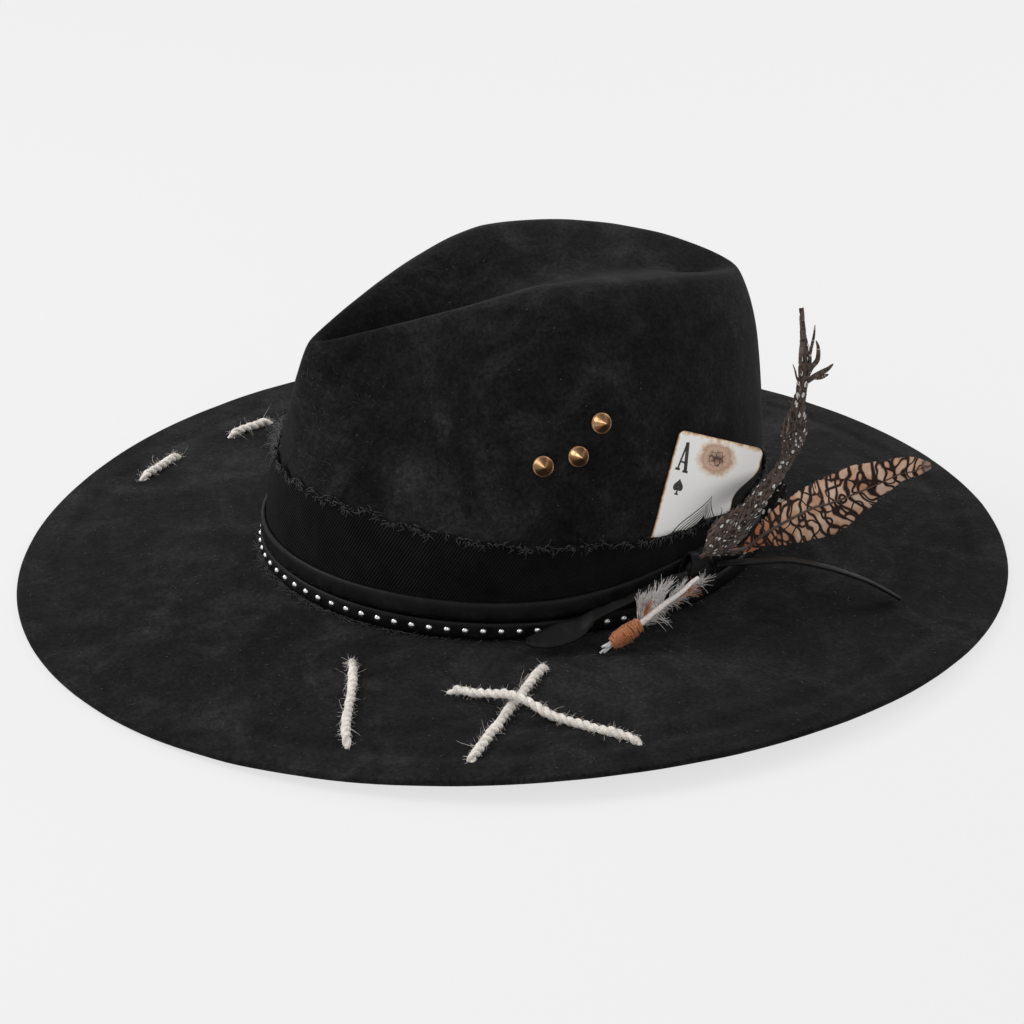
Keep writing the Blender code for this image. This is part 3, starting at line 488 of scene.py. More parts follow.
def smooth_share(rows, value):
    last = len(rows) - 2
    index = max(i for i in range(last + 1) if i == 0 or rows[i][0] <= value)
    (x0, y0), (x1, y1) = rows[index], rows[index + 1]
    before = rows[max(index - 1, 0)]
    after = rows[min(index + 2, last + 1)]
    step = x1 - x0
    slope0 = (y1 - before[1]) / (x1 - before[0])
    slope1 = (after[1] - y0) / (after[0] - x0)
    u = min(max((value - x0) / step, 0.0), 1.0)
    return ((2 * u**3 - 3 * u**2 + 1) * y0 + (u**3 - 2 * u**2 + u) * step * slope0
            + (3 * u**2 - 2 * u**3) * y1 + (u**3 - u**2) * step * slope1)


def root_height(turn):
    return FELT_WALL + BRIM_RISE - BRIM_ROOT_SAG * math.sin(turn) ** 2


def edge_height(turn):
    return FELT_WALL + BRIM_SIDE_LIFT * abs(math.sin(turn)) ** 3


def ridge_height(turn):
    forward = math.cos(turn)
    peak = FELT_WALL + BRIM_RISE + CROWN_RISE
    if forward > 0:
        return peak - RIDGE_FRONT_DROP * forward ** 1.3
    return peak - RIDGE_BACK_DROP * (-forward) ** 2.2


def brim_point(row, turn):
    across = CROWN_HALF_WIDTH + BRIM_REACH_ACROSS * row.reach
    along = CROWN_HALF_LENGTH + BRIM_REACH_ALONG * row.reach
    rise = root_height(turn) + (edge_height(turn) - root_height(turn)) * row.fall
    return Vector((across * math.sin(turn), -along * math.cos(turn), rise + row.relief * EDGE_RELIEF))


def crown_point(row, turn):
    forward = math.cos(turn)
    length = CROWN_HALF_LENGTH * (row.front if forward > 0 else row.back)
    narrowing = row.taper * ((1 + forward) / 2) ** 3
    away = abs(math.atan2(math.sin(turn), forward)) - PINCH_TURN
    pinch = row.pinch * math.exp(-(away / PINCH_SPREAD) ** 2)
    across = CROWN_HALF_WIDTH * row.width * (1 - narrowing - pinch)
    rise = root_height(turn) + row.height * (ridge_height(turn) - root_height(turn))
    return Vector((across * math.sin(turn), -length * forward, rise))


def dent_point(inward, turn):
    crest = crown_point(CROWN_ROWS[-1], turn)
    forward = math.cos(turn)
    reach = DENT_FRONT_REACH if forward > 0 else DENT_BACK_REACH
    depth = DENT_DEPTH * smooth_share(DENT_DEPTHS, forward)
    fall = inward * inward * (3 - 2 * inward)
    return Vector((crest.x * (1 - inward), crest.y + (-reach * forward - crest.y) * inward,
                   crest.z - depth * fall))


def turns(count):
    return [2 * math.pi * column / count for column in range(count)]


SIDE_STEPS = 48
side_profiles = {}


def side_point(turn, height, stand_off=0.0):
    """A point level with height on the crown's side, stand_off outside the felt."""
    key = round(turn, 5)
    if key not in side_profiles:
        places = [(len(CROWN_ROWS) - 1) * step / SIDE_STEPS for step in range(SIDE_STEPS + 1)]
        side_profiles[key] = np.array([crown_point(curve_row(CROWN_ROWS, place), turn) for place in places])
    profile = side_profiles[key]
    x = float(np.interp(height, profile[:, 2], profile[:, 0]))
    y = float(np.interp(height, profile[:, 2], profile[:, 1]))
    return Vector((x, y, height)) + outward(turn) * stand_off


def outward(turn):
    return Vector((math.sin(turn) / CROWN_HALF_WIDTH, -math.cos(turn) / CROWN_HALF_LENGTH, 0)).normalized()


def brim_top(turn, out):
    reach = out / (BRIM_REACH_ACROSS * math.sin(turn) ** 2 + BRIM_REACH_ALONG * math.cos(turn) ** 2)
    rows = BRIM_ROWS[::-1]
    for inner, outer in zip(rows, rows[1:]):
        if reach <= outer.reach:
            share = (reach - inner.reach) / (outer.reach - inner.reach)
            return brim_point(inner, turn).z * (1 - share) + brim_point(outer, turn).z * share
    return brim_point(BRIM_ROWS[0], turn).z


def trim_point(turn, out, lift):
    across, along = CROWN_HALF_WIDTH + out, CROWN_HALF_LENGTH + out
    return Vector((across * math.sin(turn), -along * math.cos(turn), brim_top(turn, out) + lift))


def foot_polar(place):
    near, far = 0.0, 2 * max(BRIM_REACH_ALONG, BRIM_REACH_ACROSS)
    for _ in range(40):
        out = (near + far) / 2
        across, along = place.x / (CROWN_HALF_WIDTH + out), place.y / (CROWN_HALF_LENGTH + out)
        near, far = (out, far) if across ** 2 + along ** 2 > 1 else (near, out)
    turn = math.atan2(place.x / (CROWN_HALF_WIDTH + near), -place.y / (CROWN_HALF_LENGTH + near))
    return turn, near


def strap_foot(turn):
    return root_height(turn) + BAND_FOOT_GAP


def band_top(turn):
    return strap_foot(turn) + BAND_HEIGHT + BAND_TILT * math.cos(turn)


def card_turn(along):
    radius = math.hypot(CROWN_HALF_WIDTH * math.cos(CARD_TURN), CROWN_HALF_LENGTH * math.sin(CARD_TURN))
    return CARD_TURN + along / radius


def band_stand_off(turn):
    ends = (card_turn(-CARD_TUCK) - BULGE_MARGIN, card_turn(-CARD_TUCK),
            card_turn(CARD_WIDTH), card_turn(CARD_WIDTH) + BULGE_MARGIN)
    place = turn % (2 * math.pi)
    rising = min(max((place - ends[0]) / (ends[1] - ends[0]), 0.0), 1.0)
    falling = min(max((ends[3] - place) / (ends[3] - ends[2]), 0.0), 1.0)
    return BAND_GAP + (CARD_WALL + SEAT_GAP) * min(rising, falling)


def strap_stand_off(turn):
    return band_stand_off(turn) + BAND_WALL + SEAT_GAP


def plain_strap_foot(turn):
    away = math.remainder(turn - KNOT_TURN, 2 * math.pi)
    rise = STRAP_RISE_AT_KNOT * math.exp(-(away / STRAP_RISE_SPREAD) ** 2)
    return strap_foot(turn) + STUDDED_STRAP_WIDTH + SEAT_GAP + rise


def card_point(across, up, extra=0.0):
    base = side_point(CARD_TURN, band_top(CARD_TURN), SEAT_GAP + extra)
    along = across * math.cos(CARD_ROLL) + up * math.sin(CARD_ROLL)
    rise = up * math.cos(CARD_ROLL) - across * math.sin(CARD_ROLL)
    axis = outward(CARD_TURN)
    tangent = UP.cross(axis)
    lean = UP * math.cos(CARD_LEAN) - axis * math.sin(CARD_LEAN)
    flat = base + tangent * along + lean * rise
    hugging = side_point(card_turn(along), base.z + rise, SEAT_GAP + extra)
    share = min(max(rise / CARD_STRAIGHTENS_OVER, 0.0), 1.0)
    share = share * share * (3 - 2 * share)
    return hugging.lerp(flat, share)


# Mesh making

class Heap:
    """Points, faces and UVs that grow shape by shape and end as one piece."""

    def __init__(self):
        self.points, self.faces, self.uvs = [], [], []

    def add(self, points, faces, uvs=None):
        base = len(self.points)
        self.points.extend(points)
        self.faces.extend(tuple(base + i for i in face) for face in faces)
        self.uvs.extend(uvs or [(0.0, 0.0)] * len(points))

    def grid(self, rows, uvs=None, round_rows=False, round_columns=False):
        """Quads between rows of points."""
        height, width = len(rows), len(rows[0])
        faces = []
        for r in range(height if round_rows else height - 1):
            for c in range(width if round_columns else width - 1):
                d = (c + 1) % width
                s = (r + 1) % height
                faces.append((r * width + c, r * width + d, s * width + d, s * width + c))
        flat = [point for row in rows for point in row]
        self.add(flat, faces, [uv for row in uvs for uv in row] if uvs else None)

    def tube(self, path, radii, sides=6, uvs=None):
        """A closed strand along a path of points, a radius for each."""
        rings, frames = [], strand_frames(path)
        for point, (side, over), radius in zip(path, frames, radii):
            rings.append([point + spoke(side, over, a) * radius for a in turns(sides)])
        self.closed(rings, [[uv] * sides for uv in uvs] if uvs else None)

    def closed(self, rows, uvs=None):
        """Quads round and between rows of points, with both ends closed."""
        base, sides = len(self.points), len(rows[0])
        last = base + sides * (len(rows) - 1)
        self.grid(rows, uvs, round_columns=True)
        self.faces.append(tuple(base + i for i in reversed(range(sides))))
        self.faces.append(tuple(last + i for i in range(sides)))

    def piece(self, name, material, slot, replaces=(), weld=None, smooth=True):
        """One mesh object of all that was added, riding on the hat's body."""
        data = bpy.data.meshes.new(name)
        data.from_pydata(self.points, [], self.faces)
        layer = data.uv_layers.new(name="UVMap")
        loops = np.empty(len(data.loops), dtype=np.int32)
        data.loops.foreach_get("vertex_index", loops)
        layer.data.foreach_set("uv", np.array(self.uvs, dtype=np.float32)[loops].ravel())
        mesh = bmesh.new()
        mesh.from_mesh(data)
        if weld:
            bmesh.ops.remove_doubles(mesh, verts=mesh.verts, dist=weld)
        bmesh.ops.recalc_face_normals(mesh, faces=mesh.faces)
        mesh.to_mesh(data)
        mesh.free()
        if smooth:
            data.shade_smooth()
        node = bpy.data.objects.new(name, data)
        bpy.context.scene.collection.objects.link(node)
        data.materials.append(material)
        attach(node, "root")
        if replaces:
            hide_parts(*replaces)
        return node


def spoke(side, over, angle):
    """The direction at an angle from side towards over."""
    return side * math.cos(angle) + over * math.sin(angle)


def stray(rng, low=-1.0, high=1.0):
    """A random vector, within one unit each way on the level and from low to high upwards."""
    return Vector((rng.uniform(-1, 1), rng.uniform(-1, 1), rng.uniform(low, high)))


def travel_at(path, i):
    """The direction in which a path runs at its point i."""
    return (path[min(i + 1, len(path) - 1)] - path[max(i - 1, 0)]).normalized()


def strand_frames(path):
    """Two unit vectors across each point of a path, turning as little as they can."""
    travels = [travel_at(path, i) for i in range(len(path))]
    side = travels[0].orthogonal().normalized()
    frames = []
    for travel in travels:
        side = (side - travel * side.dot(travel)).normalized()
        frames.append((side, travel.cross(side)))
    return frames


def smooth_path(points, count):
    """Points evenly spread by number along a smooth curve through the given ones."""
    path = []
    for step in range(count):
        place = (len(points) - 1) * step / (count - 1)
        index = min(int(place), len(points) - 2)
        u = place - index
        a, b, c, d = (points[min(max(index + k, 0), len(points) - 1)] for k in (-1, 0, 1, 2))
        path.append(b + (c - a + (a * 2 - b * 5 + c * 4 - d + ((b - c) * 3 + d - a) * u) * u) * (0.5 * u))
    return path


def route(rows, reach, rise):
    return [trim_point(math.radians(row.turn), row.out * reach, row.lift * rise) for row in rows]


# Pieces

FELT_COLUMNS = 208
BRIM_STEPS, CROWN_STEPS, DENT_STEPS = 5, 6, 16


def felt_body(material):
    """Crown and brim as one sheet of felt, its edge rounded and its surface a little uneven."""
    columns = turns(FELT_COLUMNS)
    rows = []
    for step in range((len(BRIM_ROWS) - 1) * BRIM_STEPS):
        row = curve_row(BRIM_ROWS, step / BRIM_STEPS)
        rows.append([brim_point(row, turn) for turn in columns])
    for step in range((len(CROWN_ROWS) - 1) * CROWN_STEPS):
        row = curve_row(CROWN_ROWS, step / CROWN_STEPS)
        rows.append([crown_point(row, turn) for turn in columns])
    for step in range(DENT_STEPS + 1):
        rows.append([dent_point(step / DENT_STEPS, turn) for turn in columns])
    points = np.array([[tuple(p) for p in row] for row in rows])
    along = np.roll(points, -1, 1) - np.roll(points, 1, 1)
    up = np.gradient(points, axis=0)
    normals = np.cross(along, up)
    normals[-1, :, 0] = 0.0
    normals /= np.maximum(np.linalg.norm(normals, axis=2, keepdims=True), 1e-12)
    uneven = np.array([[felt_unevenness(Vector(p)) for p in row] for row in points])
    points += normals * uneven[:, :, None]
    inside = points - normals * FELT_WALL
    rim = edge_roll(points[0], normals[0], points[0] - points[1])
    heap = Heap()
    loop = [[Vector(p) for p in row] for row in
            list(inside[::-1]) + rim + list(points)]
    heap.grid(loop, round_columns=True)
    return heap.piece("felt_shell", material, "black_felt", ["felt_body"], weld=1e-6)


def felt_unevenness(point):
    """Soft hollows left by hand blocking, none where the band and straps lie."""
    above = min(max((point.z - 0.060) / 0.020, 0.0), 1.0)
    reach = math.hypot(point.x / CROWN_HALF_WIDTH, point.y / CROWN_HALF_LENGTH)
    outside = min(max((reach - 1.10) / 0.15, 0.0), 1.0)
    free = max(above, outside)
    broad = noise.noise(point * 22) * 0.0007
    fine = noise.noise(point * 70) * 0.00018
    return (broad * (0.45 if outside else 1.0) + fine) * free


def edge_roll(edge, normals, out):
    """Rows that carry the felt round from the lower face of the brim's edge to the upper."""
    out = out / np.linalg.norm(out, axis=1, keepdims=True)
    steps = 5
    rows = []
    for step in range(1, steps):
        angle = math.pi * step / steps
        down = FELT_WALL / 2 * (1 + math.cos(angle))
        rows.append(edge - normals * down + out * (FELT_WALL / 2 * math.sin(angle)))
    return rows


RingStep = namedtuple("RingStep", "height wall")
STRAP_SECTION = (
    RingStep(0.00, 0.20), RingStep(0.02, 0.62), RingStep(0.08, 0.93), RingStep(0.25, 1.02),
    RingStep(0.50, 1.05), RingStep(0.75, 1.02), RingStep(0.92, 0.93), RingStep(0.98, 0.62),
    RingStep(1.00, 0.20), RingStep(0.95, 0.00), RingStep(0.05, 0.00),
)

RING_COLUMNS = 416


def ring(name, low, high, stand_off, wall, section, material, slot, replaces, ripple=0.0):
    """A band or strap round the crown through a rounded section."""
    heap = Heap()
    rows, uvs, run = [], [], 0.0
    previous = None
    for turn in turns(RING_COLUMNS) + [2 * math.pi]:
        foot, top = low(turn), high(turn)
        row = []
        for step in section:
            height = foot + (top - foot) * step.height
            point = side_point(turn % (2 * math.pi), height, stand_off(turn) + wall * step.wall)
            if ripple and step.wall > 0.5:
                point += outward(turn) * abs(noise.noise(point * 90)) * ripple
            row.append(point)
        if previous:
            run += (row[0] - previous).length
        previous = row[0]
        rows.append(row)
        uvs.append([(run, (top - foot) * step.height) for step in section])
    heap.grid(rows, uvs, round_columns=True)
    return heap.piece(name, material, slot, replaces, weld=1e-7)


BAND_STEPS = 22


def twill_band(material):
    upward = [RingStep(step / BAND_STEPS, 1.0) for step in range(BAND_STEPS + 1)]
    section = upward + [RingStep(1.0, 0.0), RingStep(0.5, 0.0), RingStep(0.0, 0.0)]
    band = ring("twill_cloth", strap_foot, ragged_top, band_stand_off, BAND_WALL, section, material,
                "black_twill", ["twill_band"], ripple=0.0004)
    return band


def ragged_top(turn):
    return band_top(turn) + noise.noise(Vector((math.cos(turn), math.sin(turn), 0)) * 11) * 0.0019


EDGE_LOOPS, ROOT_THREADS, TUFT_HAIRS = 1300, 520, 130


def fringe(thread, hair):
    """Frayed loops along the band's raw top edge, threads at the brim's root and a tuft at the front."""
    rng = random.Random(11)
    heap = Heap()
    for _ in range(EDGE_LOOPS):
        turn = rng.uniform(0, 2 * math.pi)
        seat = side_point(turn, ragged_top(turn) + rng.uniform(-0.0018, 0.0005),
                          band_stand_off(turn) + rng.uniform(0.5, 1.3) * BAND_WALL)
        out, tangent = outward(turn), UP.cross(outward(turn))
        heading = (UP * rng.uniform(-0.1, 1.1) + tangent * rng.uniform(-1.3, 1.3)
                   + out * rng.uniform(0.2, 0.9)).normalized()
        curl(heap, rng, seat, heading, rng.uniform(0.0018, 0.0042), rng.uniform(0.00017, 0.00030),
             tangent * rng.uniform(-2.2, 2.2) - UP * rng.uniform(0.3, 2.2) - out * 0.4, 6, 5)
    for number in range(ROOT_THREADS):
        turn = rng.gauss(math.radians(4), math.radians(24)) if number % 4 else rng.uniform(0, 2 * math.pi)
        seat = trim_point(turn, strap_stand_off(turn) + rng.uniform(0.0002, 0.0014), 0.0004)
        tangent = UP.cross(outward(turn))
        heading = (outward(turn) + tangent * rng.uniform(-0.9, 0.9) + UP * rng.uniform(0.0, 0.5)).normalized()
        curl(heap, rng, seat, heading, rng.uniform(0.002, 0.0062), rng.uniform(0.00013, 0.00024),
             tangent * rng.uniform(-1.6, 1.6) + UP * rng.uniform(-0.5, 0.3), 6, 4)
    heap.piece("twill_fringe", thread, "black_twill")
    heap = Heap()
    for _ in range(TUFT_HAIRS):
        turn = rng.gauss(math.radians(-17), math.radians(4.5))
        seat = side_point(turn, ragged_top(turn) + rng.uniform(-0.004, 0.012), rng.uniform(0.0002, 0.0016))
        out, tangent = outward(turn), UP.cross(outward(turn))
        heading = (UP * rng.uniform(0.1, 1.0) + out * rng.uniform(0.1, 0.8)
                   + tangent * rng.uniform(-0.8, 0.8)).normalized()
        curl(heap, rng, seat, heading, rng.uniform(0.003, 0.0085), 0.00008,
             tangent * rng.uniform(-1.2, 1.2) + UP * rng.uniform(-1.0, 0.4), 6)
    heap.piece("band_tuft", hair, "black_twill")


def curl(heap, rng, start, heading, length, radius, bend, steps=4, sides=3):
    """One short curling hair or thread."""
    path, point = [start], start
    direction = heading
    for _ in range(steps):
        direction = (direction + bend * (0.28 + 0.2 * rng.random())).normalized()
        point = point + direction * (length / steps)
        path.append(point)
    radii = [radius * (1 - 0.65 * i / steps) for i in range(steps + 1)]
    heap.tube(path, radii, sides)


def leather_straps(material):
    ring("plain_strap", plain_strap_foot, lambda turn: plain_strap_foot(turn) + PLAIN_STRAP_WIDTH,
         strap_stand_off, STRAP_WALL, STRAP_SECTION, material, "black_leather", ["leather_strip"],
         ripple=0.0002)
    ring("studded_strap", strap_foot, lambda turn: strap_foot(turn) + STUDDED_STRAP_WIDTH,
         strap_stand_off, STRAP_WALL, STRAP_SECTION, material, "studded_leather", ["studded_strip"],
         ripple=0.0002)


BRIM_FIBRES, CROWN_FIBRES = 900, 150


def lint(material):
    """Short pale fibres caught on the brim and on the crown's front."""
    rng = random.Random(53)
    heap = Heap()
    for _ in range(BRIM_FIBRES):
        turn = rng.uniform(0, 2 * math.pi)
        seat = trim_point(turn, rng.uniform(0.10, 0.97) * BRIM_REACH_ALONG, rng.uniform(0.0002, 0.0007))
        angle = rng.uniform(0, 2 * math.pi)
        heading = Vector((math.cos(angle), math.sin(angle), rng.uniform(0, 0.25)))
        bend = Vector((rng.uniform(-1, 1), rng.uniform(-1, 1), 0))
        curl(heap, rng, seat, heading, rng.uniform(0.0004, 0.0018), rng.uniform(0.00003, 0.00007), bend, 3)
    for _ in range(CROWN_FIBRES):
        turn = rng.gauss(math.radians(24), math.radians(17))
        seat = side_point(turn, rng.uniform(0.060, 0.105), rng.uniform(0.0002, 0.0005))
        tangent = UP.cross(outward(turn))
        heading = (tangent * rng.uniform(-1, 1) + UP * rng.uniform(-1, 1) + outward(turn) * 0.15).normalized()
        curl(heap, rng, seat, heading, rng.uniform(0.0006, 0.0030), 0.000025, tangent * rng.uniform(-1, 1), 4)
    heap.piece("felt_lint", material, "black_felt")


def strap_studs(material):
    """Small domed studs along the lower strap, with a bare stretch under the trimming."""
    face = [side_point(turn, strap_foot(turn) + STUDDED_STRAP_WIDTH / 2, strap_stand_off(turn) + STRAP_WALL)
            for turn in turns(RING_COLUMNS) + [0.0]]
    lengths = [0.0]
    for start, end in zip(face, face[1:]):
        lengths.append(lengths[-1] + (end - start).length)
    count = round(lengths[-1] / STUD_PITCH)
    heap = Heap()
    rng = random.Random(5)
    sides, levels = 16, 6
    for stud in range(count):
        place = lengths[-1] * (stud + 0.5) / count
        i = next(k for k in range(1, len(lengths)) if lengths[k] >= place)
        seat = face[i - 1].lerp(face[i], (place - lengths[i - 1]) / (lengths[i] - lengths[i - 1]))
        if STUDS_STOP < math.atan2(seat.x / CROWN_HALF_WIDTH, -seat.y / CROWN_HALF_LENGTH) < STUDS_RESUME:
            continue
        run = (face[i] - face[i - 1]).normalized()
        axis = (run.cross(UP) + UP * rng.uniform(-0.06, 0.10)).normalized()
        over = axis.cross(run)
        rows = []
        for level in range(levels):
            tilt = math.pi / 2 * level / (levels - 0.6)
            radius = STUD_RADIUS * math.cos(tilt)
            rise = STUD_STANDS * math.sin(tilt) - 0.0002 * (level == 0)
            rows.append([seat + axis * rise + spoke(run, over, a) * radius for a in turns(sides)])
        heap.closed(rows)
    return heap.piece("strap_studs", material, "studded_leather")


def strap_sweep(heap, path, sides_out, width, wall):
    """A leather strap with rounded edges along a path; sides_out gives each point's side vector."""
    outline = ((-1.0, 0.0), (-0.92, 0.75), (-0.6, 1.0), (0.0, 1.06), (0.6, 1.0), (0.92, 0.75), (1.0, 0.0),
               (0.92, -0.75), (0.6, -1.0), (0.0, -1.0), (-0.6, -1.0), (-0.92, -0.75))
    rows = []
    for i, (point, side) in enumerate(zip(path, sides_out)):
        travel = travel_at(path, i)
        side = (side - travel * side.dot(travel)).normalized()
        over = side.cross(travel)
        half = width[i] / 2
        rows.append([point + side * (u * half) + over * (v * wall / 2) for u, v in outline])
    heap.closed(rows)


LONG_TAIL_STEPS, SHORT_TAIL_STEPS = 60, 48


def tie_tails(material):
    """The knot's two free ends, each swept along its own rows."""
    heap = Heap()
    path = smooth_path(route(LONG_TAIL_ROWS, LONG_TAIL_REACH, LONG_TAIL_ARCH), LONG_TAIL_STEPS)
    widths = [LONG_TAIL_WIDTH * row.width for row in LONG_TAIL_ROWS]
    spread = [float(np.interp(i / (LONG_TAIL_STEPS - 1) * (len(widths) - 1), range(len(widths)), widths))
              for i in range(LONG_TAIL_STEPS)]
    sides = [travel_at(path, i).cross(UP).normalized() + UP * 0.12 for i in range(LONG_TAIL_STEPS)]
    strap_sweep(heap, path, sides, spread, TAIL_WALL)
    heap.piece("tail_long_strap", material, "black_leather", ["tie_tail_long"])
    uppers = [trim_point(math.radians(r.upper_turn), r.upper_out * SHORT_TAIL_REACH,
                         r.upper_lift * SHORT_TAIL_RISE) for r in SHORT_TAIL_ROWS]
    lowers = [trim_point(math.radians(r.lower_turn), r.lower_out * SHORT_TAIL_REACH,
                         r.lower_lift * SHORT_TAIL_RISE) for r in SHORT_TAIL_ROWS]
    uppers, lowers = smooth_path(uppers, SHORT_TAIL_STEPS), smooth_path(lowers, SHORT_TAIL_STEPS)
    middle = [(a + b) / 2 for a, b in zip(uppers, lowers)]
    heap = Heap()
    strap_sweep(heap, middle, [a - b for a, b in zip(uppers, lowers)],
                [(a - b).length for a, b in zip(uppers, lowers)], TAIL_WALL)
    heap.piece("tail_short_strap", material, "black_leather", ["tie_tail_short"])


KNOT_STRAP_WIDTH = 0.0062
KnotLoop = namedtuple("KnotLoop", "slant reach shift depth")
KNOT_LOOPS = (
    KnotLoop(0.30, 0.92, -0.22, 0.86),
    KnotLoop(-0.42, 0.90, 0.20, 0.88),
    KnotLoop(1.35, 0.80, 0.00, 1.00),
)


def leather_knot(material):
    """Two turns of strap drawn round the tied ends, with one crossing turn on top."""
    seat_out = strap_stand_off(KNOT_TURN) + STRAP_WALL + SEAT_GAP
    middle = plain_strap_foot(KNOT_TURN) + PLAIN_STRAP_WIDTH / 2
    axis = outward(KNOT_TURN)
    across = UP.cross(axis)
    heart = side_point(KNOT_TURN, middle, seat_out + KNOT_DEPTH * 0.47)
    heap = Heap()
    for slant, reach, shift, depth in KNOT_LOOPS:
        path, sides = [], []
        long_way = (UP * math.cos(slant) + across * math.sin(slant)).normalized()
        wide_way = long_way.cross(axis)
        for a in turns(36) + [0.0]:
            swell = long_way * (math.cos(a) * KNOT_HEIGHT * reach * 0.44)
            proud = axis * (math.sin(a) * KNOT_DEPTH * depth * 0.42)
            path.append(heart + wide_way * (shift * KNOT_LENGTH) + swell + proud)
            sides.append(wide_way)
        strap_sweep(heap, path, sides, [KNOT_STRAP_WIDTH] * len(path), TAIL_WALL)
    core = []
    for level in range(1, 8):
        tilt = math.pi * level / 8
        core.append([heart + axis * (math.cos(tilt) * KNOT_DEPTH * 0.30)
                     + (across * math.cos(a) * KNOT_LENGTH * 0.40 + UP * math.sin(a) * KNOT_HEIGHT * 0.34)
                     * math.sin(tilt) for a in turns(20)])
    heap.closed(core)
    return heap.piece("knot_straps", material, "black_leather", ["leather_knot"])


CONE_PROFILE = ((0.0, 1.0), (0.05, 0.985), (0.10, 0.93), (0.86, 0.22), (0.92, 0.18), (1.0, 0.15),
                (1.0, 0.03), (0.98, 0.0), (0.0, 0.0))
CRISP_SHARE = 0.05


def crisp(profile):
    """A profile with rows added beside its corners, so that its straight sides shade straight."""
    corners = [Vector(corner) for corner in profile]
    rows = corners[:1]
    for start, end in zip(corners, corners[1:]):
        rows += [start.lerp(end, CRISP_SHARE), start.lerp(end, 1 - CRISP_SHARE), end]
    return rows


def cone_studs(material):
    """Pointed studs that stand square on the crown's side."""
    step = 0.01
    for number, seat in enumerate(CONE_SEATS, start=1):
        turn = math.radians(seat.turn)
        height = root_height(turn) + seat.height * (ridge_height(turn) - root_height(turn))
        point = side_point(turn, height)
        round_the_crown = side_point(turn + step, height) - side_point(turn - step, height)
        up_the_crown = side_point(turn, height + CONE_RADIUS) - side_point(turn, height - CONE_RADIUS)
        axis = round_the_crown.cross(up_the_crown).normalized()
        side = round_the_crown.normalized()
        over = axis.cross(side)
        rows = [[point + axis * (SEAT_GAP + rise * CONE_HEIGHT)
                 + spoke(side, over, a) * (share * CONE_RADIUS) for a in turns(48)]
                for share, rise in crisp(CONE_PROFILE)]
        heap = Heap()
        heap.grid(rows, round_columns=True)
        heap.piece(f"cone_spike_{number}", material, "brass", [f"cone_stud_{number}"], weld=1e-6)


INK_LIFT = 0.00005


def card_outline_top(across):
    from_edge = min(across, CARD_WIDTH - across, CARD_CORNER)
    return CARD_HEIGHT - CARD_CORNER + math.sqrt(max(CARD_CORNER ** 2 - (CARD_CORNER - from_edge) ** 2, 0.0))


def playing_card(material):
    """The card's two faces, which hug the crown at the foot and straighten above it, and its rim."""
    corner = [CARD_CORNER * (1 - math.cos(math.pi / 2 * i / 6)) for i in range(7)]
    middle = [CARD_CORNER + (CARD_WIDTH - 2 * CARD_CORNER) * i / 20 for i in range(1, 20)]
    columns = corner + middle + [CARD_WIDTH - x for x in reversed(corner)]
    faces, uvs = [], []
    rows = 28
    for extra in (0.0, CARD_WALL):
        face, face_uv = [], []
        for across in columns:
            top = card_outline_top(across)
            foot = (across * math.sin(CARD_ROLL) - CARD_TUCK) / math.cos(CARD_ROLL)
            ups = [foot + (top - foot) * row / (rows - 1) for row in range(rows)]
            face.append([card_point(across, up, extra) for up in ups])
            face_uv.append([(across, up) for up in ups])
        faces.append(face)
        uvs.append(face_uv)
    heap = Heap()
    for face, face_uv in zip(faces, uvs):
        heap.grid(face, face_uv)
    rim = [(c, 0) for c in range(len(columns))] + [(len(columns) - 1, r) for r in range(1, rows)]
    rim += [(c, rows - 1) for c in range(len(columns) - 2, -1, -1)] + [(0, r) for r in range(rows - 2, 0, -1)]
    heap.grid([[faces[0][c][r] for c, r in rim], [faces[1][c][r] for c, r in rim]],
              [[uvs[0][c][r] for c, r in rim], [uvs[1][c][r] for c, r in rim]], round_columns=True)
    return heap.piece("card_sheet", material, "card", ["playing_card"], weld=1e-6)


def spade_outline(count=60):
    """A plain spade, one wide and one tall, round its middle."""
    points = []
    for t in turns(count):
        x = 16 * math.sin(t) ** 3
        y = -(13 * math.cos(t) - 5 * math.cos(2 * t) - 2 * math.cos(3 * t) - math.cos(4 * t))
        points.append((x / 34, y / 36 + 0.10))
    return points


def inked(heap, outline, middle, width, height, hole=0.0):
    """A flat printed shape on the card; with a hole share it is a line of even weight."""
    levels = [1.0 - (1.0 - hole) * k / 3 for k in range(4)] if hole else [1.0, 0.66, 0.33, 0.02]
    rows = []
    for level in levels:
        rows.append([card_point(middle[0] + x * width * level, middle[1] + y * height * level,
                                CARD_WALL + INK_LIFT) for x, y in outline])
    heap.grid(rows, round_columns=True)


def bar(heap, start, end, width):
    """A straight printed stroke between two places on the card."""
    a, b = Vector(start), Vector(end)
    across = Vector((b.y - a.y, a.x - b.x)).normalized() * width / 2
    rows = []
    for share in (0.0, 0.5, 1.0):
        place = a.lerp(b, share)
        rows.append([card_point(*(place + across), CARD_WALL + INK_LIFT),
                     card_point(*(place - across), CARD_WALL + INK_LIFT)])
    heap.grid(rows)


LARGE_SPADE_MIDDLE = (0.0242, -0.0003)
LARGE_SPADE_WIDTH, LARGE_SPADE_HEIGHT = 0.034, 0.036
LARGE_SPADE_FILLED = 0.62
SpadeLine = namedtuple("SpadeLine", "size hole")
SPADE_LINES = (
    SpadeLine(1.00, 0.965),
    SpadeLine(0.90, 0.975),
    SpadeLine(0.83, 0.965),
    SpadeLine(0.76, 0.960),
    SpadeLine(0.69, 0.955),
)


